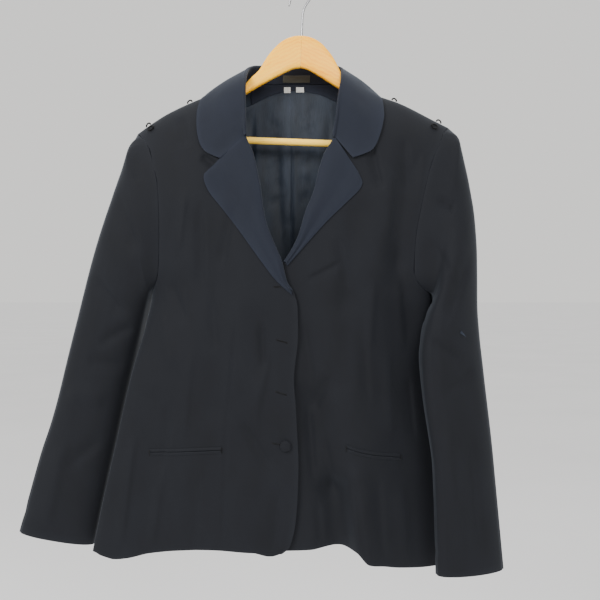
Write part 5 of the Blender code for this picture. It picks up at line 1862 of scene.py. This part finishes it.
@dataclass
class NeckInside:
    """What shows inside the neck: lining, facing, the bare label and two tabs."""

    looks: Wardrobe
    lined: float = 0.0061
    free: float = 0.0070
    hem: float = -0.845
    span: float = 0.9
    top_half: float = 0.15
    low: float = -0.6
    down: int = 96
    across: int = 144
    label: Four = (-0.0326, 0.0101, -0.1450, -0.1330)
    label_wall: float = 0.0006
    thin_wall: float = 0.001
    thin_edge: float = 0.0003
    flare_from: float = 0.35
    free_until: float = 0.8
    top_fade: float = 0.05
    ripple_gain: float = 2.2
    ripple_squeeze: float = 1.6
    lining_seed: float = 21.0
    facing_left: float = -0.082
    facing_right: float = 0.058
    facing_down: int = 8
    facing_across: int = 60
    facing_low: float = 0.0002
    facing_high: float = 0.0010
    patch_down: int = 6
    patch_across: int = 16
    patch_lift: float = 0.0008
    patch_wave: float = 0.0003
    patch_turn: float = 0.7
    patch_edge: float = 0.0002
    # Width of the painted sheen along the patches' borders.
    patch_pressed: float = 0.001
    patch_least: float = 0.01
    patch_ease: float = 1.05
    lining_cut: Cut = Cut(0.55, 0.70, 0.250)
    facing_cut: Cut = Cut(0.145, 0.026, 0.0025)

    def lining_rows(self) -> Rows:
        """Points of the lining's visible face, hanging free inside the back's folds.

        Returns:
            The rows.
        """
        top = Track(LINING_TOP, "x")
        rows = []
        for r in range(self.down + 1):
            t = r / self.down
            row = []
            for c in range(self.across + 1):
                v = mix(-self.span, self.span, c / self.across)
                side = RIGHT if v < 0 else LEFT
                x_top = FORM.centre + v * self.top_half
                x_low = FORM.centre + abs(v) * (FORM.tip(side, self.low) - FORM.centre)
                z = mix(self.hem, top.at("z", x_top), t)
                x = mix(x_low, x_top, ramp(self.flare_from, 1.0, t))
                inside = self.lined + self.free * (1 - ramp(self.free_until, 1.0, t))
                fade = ramp(0.0, self.top_fade, 1 - t)
                crease = crease_depth(LINING_CREASES, x, z) * fade
                ripple = self.ripple_gain * FORM.waver(x * self.ripple_squeeze, z, self.lining_seed) * fade
                row.append(Vector((x, FORM.body_y(x, z, False) - inside + crease + ripple, z)))
            rows.append(row)
        return rows

    def facing_rows(self, back: BVHTree) -> Rows:
        """Points of the neck facing's visible face, between the neck seam and the lining.

        Args:
            back: The back's outer face.

        Returns:
            The rows.
        """
        top = Track(LINING_TOP, "x")
        rows = []
        for r in range(self.facing_down + 1):
            row = []
            for c in range(self.facing_across + 1):
                x = mix(self.facing_left, self.facing_right, c / self.facing_across)
                low, high = top.at("z", x) + self.facing_low, FORM.back_neck.at("z", x) - self.facing_high
                z = mix(low, high, r / self.facing_down)
                row.append(on_surface(back, x, z, -self.lined, from_front=False))
            rows.append(row)
        return rows

    def _patch(self, name: str, box: Four, behind: Callable[[float, float], Vector], look: Material,
               node: str) -> None:
        """Make one small sewn patch with a slightly lifted, uneven lower edge.

        Args:
            name: The piece's name.
            box: Its left, right, lower and upper border.
            behind: The place behind it at X and Z.
            look: Its finish.
            node: The solid it stands for.
        """
        x0, x1, z0, z1 = box
        rows = []
        for r in range(self.patch_down + 1):
            row = []
            up = r / self.patch_down
            for c in range(self.patch_across + 1):
                x, z = mix(x0, x1, c / self.patch_across), mix(z0, z1, up)
                wave = self.patch_wave * (1 - up) * math.sin(c * self.patch_turn)
                lift = self.label_wall + self.patch_lift + wave
                row.append(behind(x, z) - Vector((0, lift, 0)))
            rows.append(row)
        wall = Shell(name, rows, self.label_wall, look, look, (FORM.centre, 0.5, -0.15), self.patch_edge,
                     self.patch_pressed)
        enter(wall.build(), [node])

    def build(self, back: BVHTree, stand: BVHTree) -> None:
        """Make every piece inside the neck.

        Args:
            back: The back's outer face.
            stand: The collar's face.
        """
        wall = Shell("cloth_back_lining", self.lining_rows(), self.thin_wall, self.looks.satin,
                     self.looks.satin, (FORM.centre, 0.5, -0.5), self.thin_edge)
        enter(wall.build(), ["back_lining"])
        # The neck facing is the lighter wool with painted sheen.
        wall = Shell("cloth_neck_facing", self.facing_rows(back), self.thin_wall,
                     self.looks.facing, self.looks.facing, (FORM.centre, 0.5, -0.5), self.thin_edge)
        enter(wall.build(), ["neck_facing"])

        def on_stand(x: float, z: float) -> Vector:
            """A place on the collar's stand."""
            return on_surface(stand, x, z, 0.0)

        def on_facing(x: float, z: float) -> Vector:
            """A place on the facing's visible face."""
            return on_surface(back, x, z, -self.lined, from_front=False)

        self._patch("cloth_neck_label", self.label, on_stand, self.looks.label, "neck_label")
        for name, box in TABS.items():
            self._patch("cloth_" + name, box, on_facing, self.looks.tab, name)


@dataclass
class Pocket:
    """A pocket's opening between two narrow piped welts, tacked at its ends."""

    side: Side
    looks: Wardrobe
    wall: float = 0.0011
    height: float = 0.0045
    slit: float = 0.0005
    columns: int = 60
    steps: int = 8
    lift: float = 0.0014
    swell: float = 0.0004
    tack_length: float = 0.0075
    tack_stitches: int = 12
    tack_out: float = 0.0006
    tack_in: float = 0.0010
    tack_rise: float = 0.0006
    tack_thread: float = 0.00028
    rounding: float = 0.8
    edge: float = 0.0003
    # Width of the painted sheen along the welts' pressed borders.
    pressed: float = 0.0012
    ease: float = 1.05
    strip: float = 0.0115
    strip_seen: float = 0.0060

    def _rows(self, front: BVHTree, above: bool) -> Rows:
        """Outer points of one welt, rounded from its slit edge to its seam.

        Args:
            front: The front's outer face.
            above: Whether the upper welt is meant.

        Returns:
            The rows.
        """
        line = Track(SLIT[self.side], "x")
        start, end = SLIT[self.side][0].x, SLIT[self.side][-1].x
        rows = []
        for r in range(self.steps + 1):
            share = r / self.steps
            offset = self.slit + self.height * share
            lift = self.lift + self.swell * math.sin(math.pi * share ** self.rounding)
            lift -= 2 * self.swell * share ** 3
            row = []
            for c in range(self.columns + 1):
                x = mix(start, end, c / self.columns)
                z = line.at("z", x) + (offset if above else -offset)
                row.append(on_surface(front, x, z, lift))
            rows.append(row)
        return rows

    def build(self, front: BVHTree) -> None:
        """Make both welts and the two end tacks.

        Args:
            front: The front's outer face.
        """
        hand = self.side.name.lower()
        for above, place in ((True, "upper"), (False, "lower")):
            name = "pocket_welt_" + hand + "_" + place
            wall = Shell("cloth_" + name, self._rows(front, above), self.wall, self.looks.cloth,
                         self.looks.cloth, (FORM.centre, 0.3, -0.7), self.edge, self.pressed)
            enter(wall.build(), [name])
        self._tacks(front, hand)

    def _tacks(self, front: BVHTree, hand: str) -> None:
        """Sew a short bar of close stitches across each end of the slit.

        Args:
            front: The front's outer face.
            hand: The side's name.
        """
        thread = Strands()
        line = Track(SLIT[self.side], "x")
        for end, inward in ((SLIT[self.side][0], 1), (SLIT[self.side][-1], -1)):
            for i in range(self.tack_stitches):
                share = i / (self.tack_stitches - 1)
                z = line.at("z", end.x) + mix(-self.tack_length, self.tack_length, share) / 2
                a = on_surface(front, end.x - self.tack_out * inward, z, self.lift)
                b = on_surface(front, end.x + self.tack_in * inward, z, self.lift + self.tack_rise)
                thread.stitch(a, b, normal_at(front, a), self.tack_thread)
        enter(thread.build("thread_pocket_tacks_" + hand, self.looks.thread))


@dataclass
class Buttonholes:
    """The worked buttonholes on the right front, each a slit edged in close thread."""

    looks: Wardrobe
    places: tuple[Four, ...] = (
        (-0.0387, -0.4693, 0.0043, 0.0000), (-0.0319, -0.5476, 0.0072, -0.28),
        (-0.0333, -0.6226, 0.0072, -0.32), (-0.0394, -0.6959, 0.0062, -0.16),
    )
    half_height: float = 0.0006
    pitch: float = 0.00050
    thread: float = 0.00024
    eye: float = 0.0010
    reach: float = 0.0005
    under: Point = Point(0.0002, 0.0004)
    eye_steps: int = 8
    eye_share: float = 0.6
    slit_rise: float = 0.00005
    slit_thread: float = 0.0003
    slit_steps: int = 8
    bar_stitches: int = 7
    bar_half: float = 0.0009
    bar_reach: float = 0.0007

    def _outline(self, half: float) -> list[Four]:
        """Places round the slit with their outward directions, the eye nearest the edge.

        Args:
            half: Half the slit's length.

        Returns:
            Offsets in X and Z, and a direction.
        """
        places = []
        count = int(2 * half / self.pitch)
        for sign in (1.0, -1.0):
            for i in range(count + 1):
                places.append((mix(-half, half, i / count), sign * self.half_height, 0.0, sign))
        for i in range(self.eye_steps + 1):
            turn = math.radians(mix(-90, 90, i / self.eye_steps))
            places.append((half + self.eye * self.eye_share * math.cos(turn), self.eye * math.sin(turn),
                           math.cos(turn), math.sin(turn)))
        return places

    def build(self, front: BVHTree) -> None:
        """Sew all the buttonholes on the front as one piece of threadwork.

        Args:
            front: The front's outer face.
        """
        work = Strands()
        for x, z, half, lean in self.places:
            out = normal_at(front, Vector((x, 0, z)))
            for dx, dz, way_x, way_z in self._outline(half):
                low = z + dz + dx * lean
                inner = on_surface(front, x + dx - way_x * self.under.x, low - way_z * self.under.z, 0.0)
                outer = on_surface(front, x + dx + way_x * self.reach, low + way_z * self.reach, 0.0)
                work.stitch(inner, outer, out, self.thread)
            spots = [mix(-half, half, i / self.slit_steps) for i in range(self.slit_steps + 1)]
            slit = [on_surface(front, x + spot, z + spot * lean, self.slit_rise) for spot in spots]
            work.tube(slit, [self.slit_thread] * len(slit), 5)
            for i in range(self.bar_stitches):
                dz = mix(-self.bar_half, self.bar_half, i / (self.bar_stitches - 1)) - half * lean
                work.stitch(on_surface(front, x - half - self.bar_reach, z + dz, 0.0),
                            on_surface(front, x - half + self.bar_reach, z + dz, 0.0), out, self.thread)
        enter(work.build("thread_buttonholes", self.looks.thread))


@dataclass
class CoveredButton:
    """A button covered in the jacket's cloth, gathered behind, on a wound thread shank."""

    looks: Wardrobe
    place: Point = Point(-0.0267, -0.6985)
    radius: float = 0.0078
    height: float = 0.0034
    shank: float = 0.0016
    clear: float = 0.0007
    sides: int = 56
    dome_low: float = 0.42
    dome_rise: float = 0.58
    gathers: int = 14
    gather_depth: float = 0.012
    coil_radius: float = 0.0021
    coil_thread: float = 0.00035
    coil_steps: int = 48
    coil_turn: int = 12
    coil_sink: float = 0.0001

    def build(self, front: BVHTree) -> None:
        """Turn the covered dome and wind the shank.

        Args:
            front: The front's outer face.
        """
        foot = on_surface(front, self.place.x, self.place.z, self.clear)
        turns = [math.radians(angle) for angle in range(80, -1, -8)]
        profile = [(0.0, 1.0)] + [(math.cos(a), self.dome_low + self.dome_rise * math.sin(a)) for a in turns]
        profile += [(1.0, 0.36), (0.985, 0.24), (0.95, 0.1), (0.86, 0.0), (0.4, 0.02), (0.0, 0.03)]
        points = []
        for radius, high in profile:
            for s in range(self.sides):
                turn = math.tau * s / self.sides
                pull = 1 + self.gather_depth * math.sin(turn * self.gathers) * ramp(0.5, 0.0, high)
                away = radius * self.radius * pull
                points.append(foot + Vector((away * math.cos(turn), -self.shank - high * self.height,
                                             away * math.sin(turn))))
        faces = quads(len(profile), self.sides, True)
        obj = smooth_object("cloth_button", points, faces, self.looks.cloth)
        weld = obj.modifiers.new("weld", "WELD")
        weld.merge_threshold = 0.00001
        enter(obj, ["button"])
        work = Strands()
        coil = []
        for i in range(self.coil_steps + 1):
            turn = math.tau * i / self.coil_turn
            out = -self.shank * i / self.coil_steps - self.coil_sink
            across, up = self.coil_radius * math.cos(turn), self.coil_radius * math.sin(turn)
            coil.append(foot + Vector((across, out, up)))
        work.tube(coil, [self.coil_thread] * len(coil), 6)
        enter(work.build("thread_button_shank", self.looks.thread))


@dataclass
class ShoulderCords:
    """Cord loops on the shoulder seams and worked rings below them."""

    looks: Wardrobe
    radius: float = 0.0011
    ring_major: float = 0.0046
    ring_clear: float = 0.0009
    plies: int = 3
    gather: float = 0.6
    finer: int = 8
    lay: float = 1.6
    ply_out: float = 0.5
    ply_size: float = 0.56
    loop_steps: int = 8
    seat: float = 0.7
    behind: float = 0.0022
    bow: float = 0.003
    wraps: int = 44
    wrap_sides: int = 10
    wrap_share: float = 0.8
    wrap_pitch: float = 0.00012
    wrap_thread: float = 0.0003

    def _twisted(self, line: Sequence[Vector]) -> Strands:
        """Cord along a line, as plies that wind round each other.

        Args:
            line: The cord's centre points.

        Returns:
            The plies.
        """
        work = Strands()
        track = Spline(range(len(line)), line)
        spans, near = len(line) - 1, 0.05
        steps = spans * self.finer
        for ply in range(self.plies):
            points = []
            for i in range(steps + 1):
                at = i / self.finer
                centre = track.at(at)
                ahead = track.at(min(spans, at + near)) - track.at(max(0.0, at - near))
                across = ahead.cross(Vector((0, 1, 0))).normalized()
                beside = ahead.normalized().cross(across)
                turn = math.tau * (ply / self.plies + i / steps * spans / self.lay)
                away = across * math.cos(turn) + beside * math.sin(turn)
                points.append(centre + away * self.radius * self.ply_out)
            work.tube(points, [self.radius * self.ply_size] * len(points), 7)
        return work

    def build(self, fronts: dict[Side, BVHTree]) -> None:
        """Make the four loops and the two rings.

        Args:
            fronts: Both fronts' outer faces.
        """
        for loop in LOOPS:
            line = []
            for i in range(self.loop_steps + 1):
                turn = math.pi * i / self.loop_steps
                x = loop.x - loop.half * self.gather * math.cos(turn)
                z = FORM.shoulder.at("z", x) + self.seat * self.radius + loop.rise * math.sin(turn)
                line.append(Vector((x, -self.behind - self.bow * math.sin(turn), z)))
            enter(self._twisted(line).build("cord_" + loop.name, self.looks.thread), [loop.name])
        for name, place in RINGS.items():
            front = fronts[FORM.side_of(place.x)]
            centre = on_surface(front, place.x, place.z, 0.0)
            out = normal_at(front, centre)
            across = out.cross(Vector((0, 0, 1))).normalized()
            up = out.cross(across)
            work = Strands()
            heart = centre + out * (self.radius + self.ring_clear)
            for i in range(self.wraps):
                turn = math.tau * i / self.wraps
                way = across * math.cos(turn) + up * math.sin(turn)
                along = out.cross(way)
                middle = heart + way * self.ring_major
                wrap = []
                for k in range(self.wrap_sides):
                    a = math.tau * k / self.wrap_sides
                    off = (way * math.cos(a) + out * math.sin(a)) * self.radius * self.wrap_share
                    wrap.append(middle + off + along * self.wrap_pitch * k)
                work.tube(wrap, [self.wrap_thread] * len(wrap), 5)
            enter(work.build("cord_" + name, self.looks.thread), [name])


@dataclass
class Hanger:
    """The wooden hanger: two shaped arms glued in the middle, a round bar and a wire hook."""

    looks: Wardrobe
    tilt: float = 0.0384
    wood_top: float = -0.0843
    wood_half: float = 0.00675
    bar_radius: float = 0.00525
    bar_half: float = 0.2040
    bar_height: float = -0.247
    wire_radius: float = 0.0016
    hook_radius: float = 0.0165
    arm_stations: int = 96
    arm_sides: int = 36
    arm_power: float = 0.55
    joint_gap: float = 0.00012
    arm_spread: float = 1.15
    end_from: float = 0.012
    end_past: float = 0.0015
    end_least: float = 0.02
    end_height: float = 0.35
    end_thick: float = 0.55
    bar_steps: int = 40
    bar_sides: int = 48
    bar_chamfer: float = 0.002
    bar_end: float = 0.9
    bar_waver: float = 0.004
    bar_waves: float = 60
    wire_steps: int = 180
    wire_sides: int = 20
    tip_steps: int = 10
    tip_least: float = 0.2
    sharp: float = math.radians(50)

    def _turned(self, point: Vector) -> Vector:
        """A point of the level hanger, tilted about the hook's bearing point."""
        return Matrix.Rotation(self.tilt, 3, "Y") @ point

    def _loft(self, name: str, rings: Rows, look: Material) -> bpy.types.Object:
        """A closed smooth piece through rings of points.

        Args:
            name: The piece's name.
            rings: Its rings.
            look: Its finish.

        Returns:
            The piece.
        """
        sides = len(rings[0])
        points = [self._turned(point) for ring in rings for point in ring]
        faces = quads(len(rings), sides, True)
        faces.append(tuple(reversed(range(sides))))
        faces.append(tuple(range((len(rings) - 1) * sides, len(rings) * sides)))
        obj = smooth_object(name, points, faces, look)
        obj.data.set_sharp_from_angle(angle=self.sharp)
        return obj

    def _arm(self, side: Side) -> None:
        """One arm: rounded upright sections along its sweep, thinned and rounded at the end.

        Args:
            side: Which arm.
        """
        line = Track(ARM, "x")
        end = ARM[-1].x
        rings = []
        for i in range(self.arm_stations + 1):
            t = i / self.arm_stations
            x = mix(self.joint_gap, end, 1 - (1 - t) ** self.arm_spread)
            top, bottom = line.at("top", x), line.at("bottom", x)
            ending = ramp(end - self.end_from, end + self.end_past, x)
            close = math.sqrt(max(self.end_least, 1 - ending ** 2))
            half = (top - bottom) / 2 * mix(1.0, close, self.end_height)
            middle = self.wood_top + (top + bottom) / 2
            thin = self.wood_half * mix(self.end_thick, 1.0, close)
            ring = []
            for s in range(self.arm_sides):
                turn = math.tau * (s + 0.5) / self.arm_sides
                across, up = math.cos(turn), math.sin(turn)
                y = thin * math.copysign(abs(across) ** self.arm_power, across)
                z = middle + half * math.copysign(abs(up) ** self.arm_power, up)
                ring.append(Vector((side * x, y, z)))
            rings.append(ring if side is RIGHT else ring[::-1])
        hand = side.name.lower()
        enter(self._loft("wood_arm_" + hand, rings, self.looks.wood[side]), ["hanger_arm_" + hand])

    def _bar(self) -> None:
        """The round bar between the arms' ends."""
        rings = []
        inner = [i / self.bar_steps for i in range(1, self.bar_steps)]
        for share in [0.0, self.bar_chamfer] + inner + [1 - self.bar_chamfer, 1.0]:
            x = mix(-self.bar_half, self.bar_half, share)
            radius = self.bar_radius * (self.bar_end if share in (0.0, 1.0) else 1.0)
            radius *= 1 + self.bar_waver * math.sin(x * self.bar_waves)
            ring = []
            for s in range(self.bar_sides):
                turn = -math.tau * s / self.bar_sides
                ring.append(Vector((x, radius * math.cos(turn), self.bar_height + radius * math.sin(turn))))
            rings.append(ring)
        enter(self._loft("wood_bar", rings, self.looks.bar), ["hanger_bar"])

    def _hook(self) -> None:
        """The wire hook: up from the wood, round the loop and down to its capped tip."""
        heart_x, heart_z = -0.001, self.wire_radius - self.hook_radius
        line = [Vector((0, 0, self.wood_top - 0.02)), Vector((0, 0, -0.0640)), Vector((0.0002, 0, -0.0540)),
                Vector((0.0016, 0, -0.0450)), Vector((0.0045, 0, -0.0375)), Vector((0.0082, 0, -0.0315))]
        for i in range(15):
            turn = math.radians(-40 + 220 * i / 14)
            line.append(Vector((heart_x + self.hook_radius * math.cos(turn), 0,
                                heart_z + self.hook_radius * math.sin(turn))))
        line += [Vector((-0.0182, 0, -0.0225)), Vector((-0.0196, 0, -0.0310)), Vector((-0.0210, 0, -0.0400))]
        lengths = [0.0]
        for a, b in zip(line, line[1:]):
            lengths.append(lengths[-1] + (b - a).length)
        smooth = Spline(lengths, line)
        places = [lengths[-1] * i / self.wire_steps for i in range(self.wire_steps + 1)]
        fine = [self._turned(smooth.at(place)) for place in places]
        radii = [self.wire_radius] * len(fine)
        for i in range(self.tip_steps):
            close = math.sqrt(1 - (i / self.tip_steps) ** 2)
            radii[len(fine) - self.tip_steps + i] = self.wire_radius * max(self.tip_least, close)
        work = Strands()
        work.tube(fine, radii, self.wire_sides)
        obj = work.build("wire_hook", self.looks.wire)
        obj.data.set_sharp_from_angle(angle=self.sharp)
        enter(obj, ["hanger_hook"])

    def build(self) -> None:
        """Make the arms, the bar and the hook."""
        for side in Side:
            self._arm(side)
        self._bar()
        self._hook()


@dataclass
class Studio:
    """A plain pale floor far below the hem, soft light and the photograph's camera."""

    floor_z: float = -1.75
    floor_half: float = 400.0
    camera_at: Three = (-0.0057, -1.15, -0.488)
    lens: float = 45.12
    world: Three = (1.02, 1.01, 0.985)
    world_strength: float = 1.0
    aim: Three = (-0.02, 0.0, -0.5)
    sensor: float = 36.0
    far: float = 1500.0

    def _light(self, name: str, place: Three, size: float, power: float) -> None:
        """Add one soft square light that faces a point.

        Args:
            name: Its name.
            place: Where it hangs.
            size: Its width.
            power: Its power in watts.
        """
        data = bpy.data.lights.new(name, "AREA")
        data.shape = "SQUARE"
        data.size = size
        data.energy = power
        obj = bpy.data.objects.new(name, data)
        obj.location = place
        obj.rotation_euler = (Vector(self.aim) - Vector(place)).to_track_quat("-Z", "Y").to_euler()
        bpy.context.scene.collection.objects.link(obj)

    def build(self) -> None:
        """Lay the floor, hang the lights and set the camera."""
        half = self.floor_half
        corners = [Vector((x, y, self.floor_z)) for x, y in ((-half, -half), (half, -half), (half, half),
                                                             (-half, half))]
        floor = smooth_object("studio_floor", corners, [(0, 1, 2, 3)], FloorFinish().material())
        self._light("key_light", (-1.7, -2.2, 0.9), 1.2, 95.0)
        self._light("front_light", (0.7, -2.8, 0.5), 1.2, 62.0)
        self._light("top_light", (0.1, 0.4, 1.9), 1.8, 30.0)
        world = bpy.data.worlds.new("studio_world")
        world.use_nodes = True
        back = world.node_tree.nodes["Background"]
        back.inputs["Color"].default_value = (*self.world, 1.0)
        back.inputs["Strength"].default_value = self.world_strength
        bpy.context.scene.world = world
        data = bpy.data.cameras.new("camera")
        data.lens = self.lens
        data.sensor_width = self.sensor
        data.clip_end = self.far
        camera = bpy.data.objects.new("camera", data)
        camera.location = self.camera_at
        camera.rotation_euler = (math.pi / 2, 0, 0)
        bpy.context.scene.collection.objects.link(camera)
        bpy.context.scene.camera = camera


def main() -> None:
    """Build the studio, the jacket from the body outwards, and the hanger."""
    logging.basicConfig(level=logging.INFO, format="%(message)s")
    Studio().build()
    looks = Wardrobe()
    fronts = {side: FrontPanel(side, looks).build() for side in Side}
    back = BackPanel(looks).build()
    for side in Side:
        Sleeve(side, looks).build()
        Lapel(side, looks).build(fronts[side])
        Pocket(side, looks).build(fronts[side])
    stand = Collar(looks).build()
    NeckInside(looks).build(back, stand)
    Buttonholes(looks).build(fronts[RIGHT])
    CoveredButton(looks).build(fronts[RIGHT])
    ShoulderCords(looks).build(fronts)
    Hanger(looks).build()


if __name__ == "__main__":
    main()
